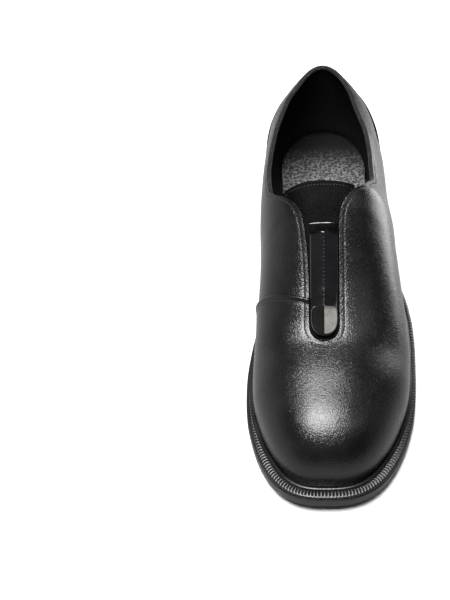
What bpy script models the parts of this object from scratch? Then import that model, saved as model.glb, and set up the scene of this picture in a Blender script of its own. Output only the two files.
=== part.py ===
"""A woman's left slip-on shoe with a welt, a low heel and a strap set in a slot.

The shoe stands on z = 0 with its toe towards -Y, its outer (lateral) side towards +X and
its origin under the middle of its box. Stations run from the back of the outsole (0) to
the toe (LENGTH). Every piece of leather is laid on one function, surface(), which is the
outer face of the lasted upper.
"""
import math
from collections import namedtuple

import bmesh
import bpy
import numpy as np
from mathutils import Vector

# Driving sizes, in metres.
LENGTH = 0.265            # outsole, from the back of the heel to the toe
BALL_WIDTH = 0.094        # what the widths in the tables are shares of
HEEL_HEIGHT = 0.0275      # floor to the top of the sole unit at the heel
FOREFOOT_SOLE = 0.0068    # sole unit under the ball
ARCH_HEIGHT = 0.0115      # floor to the underside of the waist
TOE_SPRING = 0.0058       # how far the toe is lifted off the floor
INSTEP_HEIGHT = 0.095     # floor to the crest of the vamp at the throat
COLLAR_HEIGHT = 0.095     # floor to the collar at the back of the heel
WALL = 0.0018             # upper: outer leather and lining together
CLEARANCE = 0.0003        # between two pieces that touch

WELT_THICKNESS = 0.003
WELT_LIP = 0.0009         # raised inner lip of the welt, above its flat
WELT_LIP_WIDTH = 0.0022
WELT_FALL = 0.0009        # how far the welt's flat drops to its outer edge
WELT_STEP = 0.0008        # the groove between the welt and the outsole's edge
SOLE_EDGE = 0.0014        # rounded bottom edge of the sole
HEEL_TAPER = 0.0022       # how far the heel draws in towards the floor
INSOLE_THICKNESS = 0.003  # above the welt
INSOLE_EASE = 0.0007      # around the insole, inside the wall

TOE_ROUND = 0.090         # length over which the outline closes at the toe
TOE_POWER = 2.7
HEEL_ROUND = 0.039
HEEL_POWER = 2.05
TOE_BOX_ROUND = 0.040     # length over which the vamp's crest drops to the toe
TOE_BOX_POWER = 2.7       # above 2 the toe box is fuller than a round one
HEEL_LEAN = 0.008         # how far the collar stands forward of the counter
HEEL_BULGE = 0.0015       # how far the counter stands out behind the welt's seat
HEEL_LEAN_REACH = 0.080
SIDE_LEAN_POWER = 1.5     # the sides lean in more and more towards the collar

SLOT_END = 0.077          # toe to the bottom of the slot
SLOT_ROUND = 0.0092       # length of the slot's rounded bottom
SEAM_STATION = 0.100      # toe to the medial seam, where it meets the slot
SEAM_RAKE = 0.023         # how much further back the seam meets the welt
SEAM_REACH = 0.062
SEAM_LIFT = 0.0009        # the folded edge of the vamp over the quarter
SEAM_FADE = 0.016

COUNTER_LENGTH = 0.072    # patent heel overlay, along each side
COUNTER_HEIGHT = 0.080    # floor to its top edge at the back
COUNTER_THICKNESS = 0.001

TONGUE_START = 0.069      # toe to the hidden front end of the tongue
TONGUE_END = 0.1545       # toe to its top edge
TONGUE_WIDTH = 0.043
TONGUE_FRONT_WIDTH = 0.030
TONGUE_SHIFT = 0.003      # its free end lies towards the medial side
TONGUE_THICKNESS = 0.0016

STRAP_EASE = 0.0006       # between the strap and the slot's edge, each side
STRAP_THICKNESS = 0.0024
STRAP_PROUD = 0.0006      # top of the strap above the vamp's face
TIP_START = 0.0800        # toe to the rounded end of the metal tip
TIP_LENGTH = 0.0152
TIP_SHARE = 0.9125        # width of the tip, a share of the strap's
TIP_HEIGHT = 0.0043       # crown of the tip above the vamp's face
BAR_STATION = 0.1285      # toe to the front edge of the bar
BAR_LENGTH = 0.0048
BAR_EASE = 0.0003         # between the bar and the slot's edge, each side
BAR_PROUD = 0.0014

SoleRow = namedtuple("SoleRow", "station medial lateral rise arch spring welt")
SOLE_ROWS = (
    # widths are shares of BALL_WIDTH; rise, arch and spring are shares of the heel's
    # rise over the forefoot, of ARCH_HEIGHT and of TOE_SPRING; welt is a share of BALL_WIDTH
    SoleRow(0.000, 0.345, 0.345, 1.000, 0.00, 0.00, 0.050),
    SoleRow(0.080, 0.345, 0.347, 0.970, 0.00, 0.00, 0.047),
    SoleRow(0.150, 0.342, 0.350, 0.925, 0.00, 0.00, 0.045),
    SoleRow(0.262, 0.327, 0.357, 0.810, 0.00, 0.00, 0.045),
    SoleRow(0.283, 0.323, 0.360, 0.770, 0.28, 0.00, 0.045),
    SoleRow(0.310, 0.318, 0.365, 0.715, 0.60, 0.00, 0.045),
    SoleRow(0.347, 0.312, 0.385, 0.630, 0.87, 0.00, 0.047),
    SoleRow(0.396, 0.312, 0.418, 0.505, 1.00, 0.00, 0.050),
    SoleRow(0.445, 0.333, 0.475, 0.385, 0.90, 0.00, 0.056),
    SoleRow(0.510, 0.378, 0.530, 0.240, 0.48, 0.00, 0.060),
    SoleRow(0.566, 0.420, 0.552, 0.125, 0.13, 0.00, 0.060),
    SoleRow(0.610, 0.447, 0.557, 0.055, 0.00, 0.00, 0.058),
    SoleRow(0.690, 0.474, 0.553, 0.000, 0.00, 0.00, 0.056),
    SoleRow(0.774, 0.480, 0.545, 0.000, 0.00, 0.02, 0.060),
    SoleRow(0.849, 0.470, 0.528, 0.000, 0.00, 0.14, 0.072),
    SoleRow(0.925, 0.461, 0.510, 0.000, 0.00, 0.47, 0.086),
    SoleRow(1.000, 0.455, 0.498, 0.000, 0.00, 1.00, 0.080),
)

UpperRow = namedtuple("UpperRow", "station medial lateral belly_height crest shift power")
UPPER_ROWS = (
    # medial and lateral are the half widths at the belly, belly_height is the belly's
    # height over the feather line and shift moves the crest sideways, all shares of
    # BALL_WIDTH; crest is a share of INSTEP_HEIGHT
    UpperRow(0.000, 0.358, 0.355, 0.200, 1.065, 0.000, 2.00),
    UpperRow(0.136, 0.353, 0.356, 0.230, 1.085, 0.000, 2.10),
    UpperRow(0.215, 0.372, 0.388, 0.250, 1.130, 0.000, 2.20),
    UpperRow(0.313, 0.388, 0.404, 0.270, 1.120, 0.000, 2.30),
    UpperRow(0.396, 0.394, 0.434, 0.250, 1.070, 0.000, 2.40),
    UpperRow(0.457, 0.390, 0.448, 0.220, 0.995, 0.000, 2.30),
    UpperRow(0.487, 0.392, 0.460, 0.205, 0.937, 0.000, 2.20),
    UpperRow(0.547, 0.402, 0.482, 0.175, 0.808, 0.000, 2.10),
    UpperRow(0.608, 0.415, 0.504, 0.150, 0.684, 0.000, 2.05),
    UpperRow(0.679, 0.428, 0.514, 0.125, 0.579, 0.000, 2.10),
    UpperRow(0.713, 0.432, 0.512, 0.115, 0.547, 0.000, 2.15),
    UpperRow(0.774, 0.432, 0.504, 0.105, 0.523, 0.000, 2.20),
    UpperRow(0.842, 0.420, 0.482, 0.095, 0.503, 0.000, 2.20),
    UpperRow(0.883, 0.416, 0.474, 0.090, 0.500, 0.000, 2.20),
    UpperRow(0.947, 0.405, 0.460, 0.085, 0.484, 0.000, 2.20),
    UpperRow(1.000, 0.395, 0.445, 0.080, 0.474, 0.000, 2.20),
)

ToplineRow = namedtuple("ToplineRow", "station medial lateral medial_gap lateral_gap medial_lean lateral_lean")
TOPLINE_ROWS = (
    # collar heights are shares of COLLAR_HEIGHT; the gaps, from the middle to each edge of the
    # throat, and the leans, how far the collar stands in, are shares of BALL_WIDTH
    ToplineRow(0.000, 1.000, 1.000, 0.0000, 0.0000, 0.000, 0.000),
    ToplineRow(0.080, 0.980, 0.978, 0.0000, 0.0000, 0.014, 0.016),
    ToplineRow(0.135, 0.954, 0.948, 0.0500, 0.0500, 0.000, 0.034),
    ToplineRow(0.190, 0.920, 0.910, 0.1000, 0.1000, 0.006, 0.050),
    ToplineRow(0.283, 0.868, 0.852, 0.2000, 0.2000, 0.000, 0.052),
    ToplineRow(0.345, 0.858, 0.850, 0.2800, 0.2700, -0.004, 0.055),
    ToplineRow(0.370, 0.866, 0.890, 0.3200, 0.2950, -0.004, 0.050),
    ToplineRow(0.389, 0.884, 0.940, 0.3240, 0.2850, -0.002, 0.040),
    ToplineRow(0.415, 0.925, 0.990, 0.2850, 0.2300, 0.000, 0.012),
    ToplineRow(0.434, 0.980, 1.040, 0.2320, 0.1730, 0.000, 0.002),
    ToplineRow(0.457, 1.060, 1.100, 0.1700, 0.1220, 0.000, 0.000),
    ToplineRow(0.479, 1.200, 1.200, 0.1330, 0.0980, 0.000, 0.000),
    ToplineRow(0.509, 1.300, 1.300, 0.1130, 0.0915, 0.000, 0.000),
    ToplineRow(0.550, 1.300, 1.300, 0.0990, 0.0915, 0.000, 0.000),
    ToplineRow(0.605, 1.300, 1.300, 0.0915, 0.0915, 0.000, 0.000),
    ToplineRow(1.000, 1.300, 1.300, 0.0915, 0.0915, 0.000, 0.000),
)

CounterRow = namedtuple("CounterRow", "station top")
COUNTER_ROWS = (
    # stations are shares of COUNTER_LENGTH, the top edge a share of COUNTER_HEIGHT
    CounterRow(0.00, 1.000),
    CounterRow(0.12, 0.985),
    CounterRow(0.25, 0.920),
    CounterRow(0.42, 0.775),
    CounterRow(0.57, 0.640),
    CounterRow(0.78, 0.490),
    CounterRow(1.00, 0.400),
)


def table(rows, column, station):
    """Smooth curve without overshoot through one column of a table."""
    x = np.array([row.station for row in rows])
    y = np.array([getattr(row, column) for row in rows])
    step = np.diff(x)
    slope = np.diff(y) / step
    tangent = np.zeros_like(y)
    tangent[0], tangent[-1] = slope[0], slope[-1]
    same_way = slope[:-1] * slope[1:] > 0
    before = 2 * step[1:] + step[:-1]
    after = step[1:] + 2 * step[:-1]
    with np.errstate(divide="ignore", invalid="ignore"):
        mean = (before + after) / (before / slope[:-1] + after / slope[1:])
    tangent[1:-1] = np.where(same_way, mean, 0.0)
    at = np.clip(station, x[0], x[-1])
    i = np.clip(np.searchsorted(x, at, side="right") - 1, 0, len(step) - 1)
    t = (at - x[i]) / step[i]
    return (y[i] * (1 + 2 * t) * (1 - t) ** 2 + tangent[i] * step[i] * t * (1 - t) ** 2
            + y[i + 1] * t * t * (3 - 2 * t) + tangent[i + 1] * step[i] * t * t * (t - 1))


def closing(distance, reach, power):
    """1 away from an end, falling to 0 at the end like a superellipse."""
    t = np.clip(1 - np.asarray(distance) / reach, 0, 1)
    return (1 - t ** power) ** (1 / power)


def sole_top(s):
    rise = table(SOLE_ROWS, "rise", s / LENGTH)
    spring = table(SOLE_ROWS, "spring", s / LENGTH)
    return FOREFOOT_SOLE + (HEEL_HEIGHT - FOREFOOT_SOLE) * rise + TOE_SPRING * spring


def sole_under(s):
    arch = table(SOLE_ROWS, "arch", s / LENGTH)
    spring = table(SOLE_ROWS, "spring", s / LENGTH)
    return ARCH_HEIGHT * arch + TOE_SPRING * spring


def outline(side, inset, count=400):
    """Half outline from heel to toe, moved in from the sole's edge by inset(s)."""
    a = np.linspace(0, math.pi, count)
    s = LENGTH * (1 - np.cos(a)) / 2
    column = "lateral" if side > 0 else "medial"
    half = BALL_WIDTH * table(SOLE_ROWS, column, s / LENGTH)
    half = half * closing(LENGTH - s, TOE_ROUND, TOE_POWER) * closing(s, HEEL_ROUND, HEEL_POWER)
    ds, dx = np.gradient(s), np.gradient(half)
    size = np.hypot(ds, dx)
    move = inset(s)
    s, half = s + dx / size * move, half - ds / size * move
    ends = np.maximum(half, 0)
    return s, ends


def welt_inset(s):
    return BALL_WIDTH * table(SOLE_ROWS, "welt", s / LENGTH)


def widest(side):
    return outline(side, lambda s: 0 * s)[1].max()


MIDDLE = (widest(1) - widest(-1)) / 2     # from the toe's line to the middle of the box
FEATHER = {side: outline(side, welt_inset) for side in (-1, 1)}
HEEL_END = FEATHER[1][0][0]
TOE_END = FEATHER[1][0][-1]


def feather_half(side, s):
    ds, half = FEATHER[side]
    order = np.argsort(ds)
    return np.interp(s, ds[order], half[order], left=0.0, right=0.0)


def section(side, s):
    """Sizes of the upper's cross-section at s: one value for each station."""
    u = s / LENGTH
    foot = feather_half(side, s)
    bottom = sole_top(s) + WELT_THICKNESS + 2 * CLEARANCE
    ends = closing(TOE_END - s, TOE_ROUND, TOE_POWER) * closing(s - HEEL_END, HEEL_ROUND, HEEL_POWER)
    column = "lateral" if side > 0 else "medial"
    wide = BALL_WIDTH * table(UPPER_ROWS, column, u) * ends
    box = closing(TOE_END - s, TOE_BOX_ROUND, TOE_BOX_POWER)
    crest = bottom + (INSTEP_HEIGHT * table(UPPER_ROWS, "crest", u) - bottom) * box
    height = BALL_WIDTH * table(UPPER_ROWS, "belly_height", u)
    belly_z = bottom + np.minimum(height * box, (crest - bottom) * 0.5)
    shift = BALL_WIDTH * table(UPPER_ROWS, "shift", u) * side * ends
    return foot, bottom, wide, belly_z, shift, crest, table(UPPER_ROWS, "power", u)


def opening_half(side, s):
    """From the middle to the edge of the throat and the slot; 0 ahead of the slot."""
    column = "lateral_gap" if side > 0 else "medial_gap"
    half = BALL_WIDTH * table(TOPLINE_ROWS, column, s / LENGTH)
    gone = LENGTH - SLOT_END - s
    t = np.clip(gone / SLOT_ROUND, 0, 1)
    return np.where(gone <= 0, 0.0, half * np.sqrt(1 - (1 - t) ** 2))


def strap_half():
    """Half width of the strap, from the narrow part of the slot that it lies in."""
    return BALL_WIDTH * TOPLINE_ROWS[-1].lateral_gap - STRAP_EASE


def topline_height(side, s):
    column = "lateral" if side > 0 else "medial"
    return COLLAR_HEIGHT * table(TOPLINE_ROWS, column, s / LENGTH)


def side_lean(side, s, up_side):
    """How far a side of the upper stands in, at a share of the way up to its collar."""
    column = "lateral_lean" if side > 0 else "medial_lean"
    return BALL_WIDTH * table(TOPLINE_ROWS, column, s / LENGTH) * np.clip(up_side, 0, 1.1) ** SIDE_LEAN_POWER


def first_crossing(arc, value, limit):
    """Arc length at which value first passes limit; the whole arc where it doesn't."""
    past = value >= limit[:, None]
    i = np.where(past.any(axis=1), past.argmax(axis=1), value.shape[1] - 1)
    row = np.arange(len(i))
    before = np.maximum(i - 1, 0)
    span = value[row, i] - value[row, before]
    t = np.clip((limit - value[row, before]) / np.where(span == 0, 1, span), 0, 1)
    cut = arc[row, before] + (arc[row, i] - arc[row, before]) * t
    return np.where(past.any(axis=1), cut, arc[:, -1])


def surface(side, s, v, whole=False, count=72):
    """Points of the upper's outer face, v from the feather line (0) to its edge (1)."""
    s, v = np.broadcast_arrays(np.asarray(s, float), np.asarray(v, float))
    shape = s.shape
    s, v = s.ravel(), v.ravel()
    foot, bottom, wide, belly_z, shift, crest, power = (q[:, None] for q in section(side, s))
    a = np.linspace(0, 1, count // 3)[None, :-1]
    b = np.linspace(0, math.pi / 2, count)[None, :]
    lower_x = foot + (wide - foot) * np.sin(a * math.pi / 2)
    lower_z = bottom + (belly_z - bottom) * a
    upper_x = shift + (wide - shift) * np.cos(b).clip(0) ** (2 / power)
    upper_z = belly_z + (crest - belly_z) * np.sin(b) ** (2 / power)
    x = np.concatenate([lower_x, upper_x], axis=1)
    z = np.concatenate([lower_z, upper_z], axis=1)
    arc = np.concatenate([np.zeros((len(s), 1)),
                          np.cumsum(np.hypot(np.diff(x), np.diff(z)), axis=1)], axis=1)
    end = arc[:, -1]
    if not whole:
        gap = opening_half(side, s)
        rising = np.where(np.arange(x.shape[1])[None, :] < a.shape[1], -1.0, -x)
        inner = first_crossing(arc, rising, np.where(gap > 0, -gap, 1.0))
        collar = first_crossing(arc, z, topline_height(side, s))
        blend = 0.004
        h = np.clip(0.5 + 0.5 * (collar - inner) / blend, 0, 1)
        joined = collar * (1 - h) + inner * h - blend * h * (1 - h)
        end = np.where(gap > 0, joined, np.minimum(collar, end))
    target = (v * end)[:, None]
    i = np.clip((arc < target).sum(axis=1), 1, arc.shape[1] - 1)
    row = np.arange(len(i))
    span = arc[row, i] - arc[row, i - 1]
    t = (target[:, 0] - arc[row, i - 1]) / np.where(span == 0, 1, span)
    px = x[row, i - 1] + (x[row, i] - x[row, i - 1]) * t
    pz = z[row, i - 1] + (z[row, i] - z[row, i - 1]) * t
    belly_z, bottom = belly_z[:, 0], bottom[:, 0]
    above = np.clip((pz - belly_z) / (COLLAR_HEIGHT - belly_z), 0, None)
    below = np.clip((pz - bottom) / (belly_z - bottom + 1e-9), 0, 1)
    near = np.clip(1 - s / HEEL_LEAN_REACH, 0, 1) ** 1.5
    bulge = HEEL_BULGE * np.sin(below * math.pi / 2) * (1 - above.clip(0, 1))
    lean = (HEEL_LEAN * above ** 1.6 - bulge) * near
    px = px - side_lean(side, s, (pz - belly_z) / (topline_height(side, s) - belly_z))
    return np.stack([px * side, LENGTH / 2 - s - lean, pz], axis=-1).reshape(shape + (3,))


def at_height(side, s, z):
    """Points of the upper's outer face at station s and about the height z."""
    shares = np.linspace(0, 1, 61)
    face = surface(side, s[:, None] + 0 * shares, shares[None, :] + 0 * s[:, None])
    share = np.array([np.interp(want, row[:, 2], shares) for want, row in zip(z, face)])
    return surface(side, s, share)


def over_crest(x, s):
    """Points of the outer face over the instep, where the slot leaves it open."""
    points = np.empty((len(s), 3))
    for side in (-1, 1):
        mine = x * side >= 0 if side > 0 else x * side > 0
        foot, bottom, wide, belly_z, shift, crest, power = section(side, s[mine])
        across = np.clip(x[mine] * side / wide, 0, 1)
        z = belly_z + (crest - belly_z) * (1 - across ** power) ** (1 / power)
        points[mine] = np.stack([x[mine], LENGTH / 2 - s[mine], z], axis=-1)
    return points


def instep_slope(s):
    """Angle of the crest line at station s, rising towards the heel."""
    near = over_crest(np.zeros(2), np.array([s - 0.002, s + 0.002]))
    return math.atan2(near[0][2] - near[1][2], near[0][1] - near[1][1])


def counter_top(s):
    return COUNTER_HEIGHT * table(COUNTER_ROWS, "top", s / COUNTER_LENGTH)


def heel_taper(s):
    """Draws the heel in towards the floor, and nothing ahead of the waist."""
    return HEEL_TAPER * (1 - smooth((s / LENGTH - 0.27) / 0.12))


def smooth(t):
    t = np.clip(t, 0, 1)
    return t * t * (3 - 2 * t)


def raked(s, share):
    """Leans the medial stations so that one of them follows the seam."""
    away = np.clip(np.abs(s - LENGTH + SEAM_STATION) / SEAM_REACH, 0, 1)
    return s - SEAM_RAKE * (1 - share) * (1 + np.cos(math.pi * away)) / 2


def seam_lift(s):
    """Height of the vamp's folded edge over the quarter behind it."""
    ahead = s - (LENGTH - SEAM_STATION)
    return np.where(ahead < 0, 0.0, SEAM_LIFT * (1 - smooth(ahead / SEAM_FADE)))


class Sheet:
    """A grid of faces laid in space by place(u, v), with its doubled edges welded."""

    def __init__(self, columns, rows, place):
        self.mesh = bmesh.new()
        bmesh.ops.create_grid(self.mesh, x_segments=columns, y_segments=rows, size=1.0)
        flat = np.array([vert.co[:2] for vert in self.mesh.verts])
        u = np.rint((flat[:, 0] + 1) / 2 * columns).astype(int)
        v = np.rint((flat[:, 1] + 1) / 2 * rows).astype(int)
        for vert, point in zip(self.mesh.verts, place(u, v)):
            vert.co = point

    def weld(self):
        bmesh.ops.remove_doubles(self.mesh, verts=self.mesh.verts, dist=0.000005)
        bmesh.ops.dissolve_degenerate(self.mesh, edges=self.mesh.edges, dist=0.000002)
        self.mesh.normal_update()
        return self

    def swell(self, distance):
        """Move every point along its normal: one distance, or one for each point."""
        moves = [vert.normal * distance for vert in self.mesh.verts]
        for vert, move in zip(self.mesh.verts, moves):
            vert.co += move
        self.mesh.normal_update()
        return self

    def turn_outwards(self):
        """Face away from the middle, also where the sheet is open."""
        faces, verts = self.mesh.faces, self.mesh.verts
        bmesh.ops.recalc_face_normals(self.mesh, faces=faces)
        middle = sum((vert.co for vert in verts), Vector()) / len(verts)
        if sum((face.calc_center_median() - middle).dot(face.normal) * face.calc_area()
               for face in faces) < 0:
            bmesh.ops.reverse_faces(self.mesh, faces=faces)
        self.mesh.normal_update()
        return self


def finish(name, mesh, material, thickness=0.0, offset=-1.0, bevel=0.0):
    """Turn a bmesh into a named object, with a wall and rounded edges where asked."""
    bmesh.ops.translate(mesh, verts=mesh.verts, vec=(-MIDDLE, 0.0, 0.0))
    data = bpy.data.meshes.new(name)
    mesh.to_mesh(data)
    mesh.free()
    data.materials.append(material)
    made = bpy.data.objects.new(name, data)
    bpy.context.scene.collection.objects.link(made)
    if thickness:
        wall = made.modifiers.new("Wall", "SOLIDIFY")
        wall.thickness = thickness
        wall.offset = offset
    if bevel:
        edges = made.modifiers.new("Edges", "BEVEL")
        edges.width = bevel
        edges.segments = 2
        edges.limit_method = "ANGLE"
        edges.angle_limit = math.radians(50)
    data.shade_smooth()
    data.set_sharp_from_angle(angle=math.radians(40))
    return made


def paint(name, colour, roughness, metallic=0.0, coat=0.0):
    """A plain material of one colour."""
    material = bpy.data.materials.new(name)
    material.use_nodes = True
    shader = material.node_tree.nodes["Principled BSDF"]
    shader.inputs["Base Color"].default_value = (*colour, 1.0)
    shader.inputs["Roughness"].default_value = roughness
    shader.inputs["Metallic"].default_value = metallic
    shader.inputs["Coat Weight"].default_value = coat
    material.diffuse_color = (*colour, 1.0)
    return material


def upper_stations():
    """Stations of the upper, closer together at the heel, the throat, the slot and the toe."""
    slot = LENGTH - SLOT_END
    throat = LENGTH * 0.385
    quarter = np.linspace(0, math.pi / 2, 9)
    heel = HEEL_END + HEEL_ROUND * (1 - np.cos(quarter[:8]))
    toe = TOE_END - TOE_BOX_ROUND * (1 - np.cos(quarter[::-1]))
    slot_end = slot - SLOT_ROUND * (1 - np.cos(quarter[::-2]))
    parts = (
        heel,
        np.linspace(heel[-1], throat, 9)[1:],
        np.linspace(throat, LENGTH * 0.53, 11)[1:],
        np.linspace(LENGTH * 0.53, slot_end[0], 7)[1:-1],
        slot_end,
        np.linspace(slot, toe[0], 5)[1:-1],
        toe,
    )
    return np.concatenate(parts)


def build_upper(material):
    """The hollow upper: both sides from the toe round the heel and back to the toe."""
    stations = upper_stations()
    seam = LENGTH - SEAM_STATION
    near = np.abs(stations - seam).argmin()
    medial = np.concatenate([stations[:near], [seam - 0.0003, seam + 0.0003], stations[near + 1:]])
    columns = np.concatenate([medial[::-1], stations[1:]])
    sides = np.concatenate([-np.ones(len(medial)), np.ones(len(stations) - 1)])
    rows = 11
    lifts = []

    def place(u, v):
        s, side, share = columns[u], sides[u], v / rows
        lifts.extend(np.where(side < 0, seam_lift(s) * smooth(share / 0.15), 0.0))
        points = np.empty((len(s), 3))
        for hand in (-1, 1):
            mine = side == hand
            along = s[mine] if hand > 0 else raked(s[mine], share[mine])
            points[mine] = surface(hand, along, share[mine])
        return points

    sheet = Sheet(len(columns) - 1, rows, place)
    layer = sheet.mesh.verts.layers.float.new("lift")
    for vert, lift in zip(sheet.mesh.verts, lifts):
        vert[layer] = lift
    sheet.weld().turn_outwards()
    moves = [vert.normal * vert[layer] for vert in sheet.mesh.verts]
    for vert, move in zip(sheet.mesh.verts, moves):
        vert.co += move
    return finish("upper", sheet.mesh, material, thickness=WALL)


def build_heel_counter(material):
    """The patent overlay round the heel, on the upper's own face."""
    reach = np.sin(np.linspace(0, math.pi / 2, 15)) ** 1.4
    stations = HEEL_END + (COUNTER_LENGTH - HEEL_END) * (1 - reach[::-1])
    columns = np.concatenate([stations[::-1], stations[1:]])
    sides = np.concatenate([-np.ones(len(stations)), np.ones(len(stations) - 1)])
    rows = 6

    def place(u, v):
        s, side = columns[u], sides[u]
        low = sole_top(s) + WELT_THICKNESS + WELT_LIP + 3 * CLEARANCE
        high = np.maximum(counter_top(s), low + 0.001)
        z = low + (high - low) * v / rows
        points = np.empty((len(s), 3))
        for hand in (-1, 1):
            mine = side == hand
            points[mine] = at_height(hand, s[mine], z[mine])
        return points

    sheet = Sheet(len(columns) - 1, rows, place).weld().turn_outwards().swell(CLEARANCE)
    return finish("heel_counter", sheet.mesh, material, thickness=COUNTER_THICKNESS, offset=1.0)


def crest_sheet(start, end, half, columns, rows, under, shift=0.0):
    """A patch over the instep from one distance from the toe to another, under the face."""
    def place(u, v):
        s = LENGTH - (start + (end - start) * u / columns)
        x = half(u / columns) * (2 * v / rows - 1) - shift * smooth(u / columns / 0.8)
        return over_crest(x, s)

    sheet = Sheet(columns, rows, place).weld().turn_outwards()
    if sum(face.normal.z for face in sheet.mesh.faces) < 0:
        bmesh.ops.reverse_faces(sheet.mesh, faces=sheet.mesh.faces)
        sheet.mesh.normal_update()
    return sheet.swell(-under)


def build_tongue(material):
    def half(share):
        widening = smooth(share / 0.6)
        return (TONGUE_FRONT_WIDTH + (TONGUE_WIDTH - TONGUE_FRONT_WIDTH) * widening) / 2

    under = WALL + 2 * CLEARANCE
    sheet = crest_sheet(TONGUE_START, TONGUE_END, half, 16, 10, under, TONGUE_SHIFT)
    return finish("tongue", sheet.mesh, material, thickness=TONGUE_THICKNESS)


def build_strap(material):
    start = TIP_START + TIP_LENGTH + CLEARANCE
    end = BAR_STATION - CLEARANCE
    sheet = crest_sheet(start, end, lambda share: 0 * share + strap_half(), 7, 6, -STRAP_PROUD)
    return finish("strap", sheet.mesh, material, thickness=STRAP_THICKNESS)


def build_strap_bar(material):
    end = BAR_STATION + BAR_LENGTH
    half = strap_half() + STRAP_EASE - BAR_EASE
    sheet = crest_sheet(BAR_STATION, end, lambda share: 0 * share + half, 1, 4, -BAR_PROUD)
    thickness = STRAP_THICKNESS - STRAP_PROUD + BAR_PROUD
    return finish("strap_bar", sheet.mesh, material, thickness=thickness, bevel=0.0004)


def build_strap_tip(material):
    """The domed metal end of the strap: a D with its round end towards the toe."""
    profile = ((0.0, 0.0), (1.0, 0.0), (1.0, 0.42), (0.95, 0.62), (0.84, 0.79), (0.62, 0.92),
               (0.33, 0.985), (0.0, 1.0))
    turns = 28
    base = STRAP_THICKNESS - STRAP_PROUD
    rise = base + TIP_HEIGHT

    def place(u, v):
        angle = 2 * math.pi * u / turns
        share = np.array(profile)[v]
        back = np.sin(angle) > 0
        power = np.where(back, 6.0, 2.2)
        size = (np.abs(np.cos(angle)) ** power + np.abs(np.sin(angle)) ** power) ** (-1 / power)
        x = strap_half() * TIP_SHARE * size * np.cos(angle) * share[:, 0]
        middle = TIP_START + TIP_LENGTH * 0.55
        length = np.where(back, TIP_LENGTH * 0.45, TIP_LENGTH * 0.55)
        along = middle + length * size * np.sin(angle) * share[:, 0]
        points = over_crest(x, LENGTH - along)
        lean = instep_slope(LENGTH - TIP_START - TIP_LENGTH / 2)
        lift = share[:, 1] * rise - base
        return points + lift[:, None] * np.array([0.0, -math.sin(lean), math.cos(lean)])

    sheet = Sheet(turns, len(profile) - 1, place).weld().turn_outwards()
    return finish("strap_tip", sheet.mesh, material)


def perimeter(inset, count):
    """Ring of (x, station) round the whole shoe, moved in from the sole's edge."""
    s_out, x_out = outline(1, inset, count)
    s_in, x_in = outline(-1, inset, count)
    s = np.concatenate([s_out, s_in[-2::-1]])
    x = np.concatenate([x_out, -x_in[-2::-1]])
    return x, s


def build_welt(material):
    """A ring with a raised lip against the upper and a flat that falls to its edge."""
    flat, lip = WELT_THICKNESS, WELT_THICKNESS + WELT_LIP
    edge = flat - WELT_FALL
    ease = 3 * CLEARANCE
    profile = (
        # inset from the sole's edge: shares of the welt's width and a length; height
        (0.0, WELT_STEP, 0.0),
        (0.0, WELT_STEP, 0.0006),
        (0.0, 0.0002, 0.0009),
        (0.0, 0.0002, edge - 0.0004),
        (0.0, 0.0008, edge),
        (1.0, -ease - WELT_LIP_WIDTH, flat),
        (1.0, -ease - WELT_LIP_WIDTH * 0.75, lip),
        (1.0, -ease, lip),
        (1.0, -ease, flat),
        (1.0, WALL, flat),
        (1.0, WALL, 0.0),
        (0.0, WELT_STEP, 0.0),
    )
    count = 49
    rings = []
    for share, length, height in profile:
        x, s = perimeter(lambda at: share * welt_inset(at) + length, count)
        rings.append(np.stack([x, LENGTH / 2 - s, sole_top(s) + CLEARANCE + height], axis=-1))
    rings = np.array(rings)
    sheet = Sheet(rings.shape[1] - 1, len(profile) - 1, lambda u, v: rings[v, u])
    return finish("welt", sheet.weld().turn_outwards().mesh, material)


def build_outsole(material):
    """The moulded sole unit with its heel, from sections square to its outline."""
    count = 61
    side_rows = (
        # inset as shares of the heel's taper and of the rounded edge; height from the
        # underside (0) to the top (1), and a share of the rounded edge on top of that
        (1.0, 1.0, 0.0, 0.0),
        (1.0, 0.3, 0.0, 0.3),
        (0.9, 0.0, 0.0, 1.0),
        (0.15, 0.0, 0.8, 0.0),
        (0.0, 0.0, 1.0, -0.35),
        (0.0, 0.35, 1.0, 0.0),
    )

    def half_section(side):
        loops = []
        for taper, edge, height, extra in side_rows:
            s, x = outline(side, lambda at: taper * heel_taper(at) + edge * SOLE_EDGE, count)
            low, high = sole_under(s), sole_top(s)
            z = low + (high - low) * height + extra * SOLE_EDGE
            loops.append(np.stack([x * side, LENGTH / 2 - s, z], axis=-1))
        return loops

    loops = half_section(1) + half_section(-1)[::-1]
    loops = np.array(loops + loops[:1])
    sheet = Sheet(count - 1, len(loops) - 1, lambda u, v: loops[v, u])
    return finish("outsole", sheet.weld().turn_outwards().mesh, material)


def build_insole(material):
    count = 41
    loops = []
    for side, height in ((1, 0.0), (1, 1.0), (-1, 1.0), (-1, 0.0), (1, 0.0)):
        s, x = outline(side, lambda at: welt_inset(at) + WALL + INSOLE_EASE, count)
        low = sole_top(s) + CLEARANCE
        z = low + (WELT_THICKNESS + INSOLE_THICKNESS) * height
        loops.append(np.stack([x * side, LENGTH / 2 - s, z], axis=-1))
    loops = np.array(loops)
    sheet = Sheet(count - 1, len(loops) - 1, lambda u, v: loops[v, u])
    return finish("insole", sheet.weld().turn_outwards().mesh, material)


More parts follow.
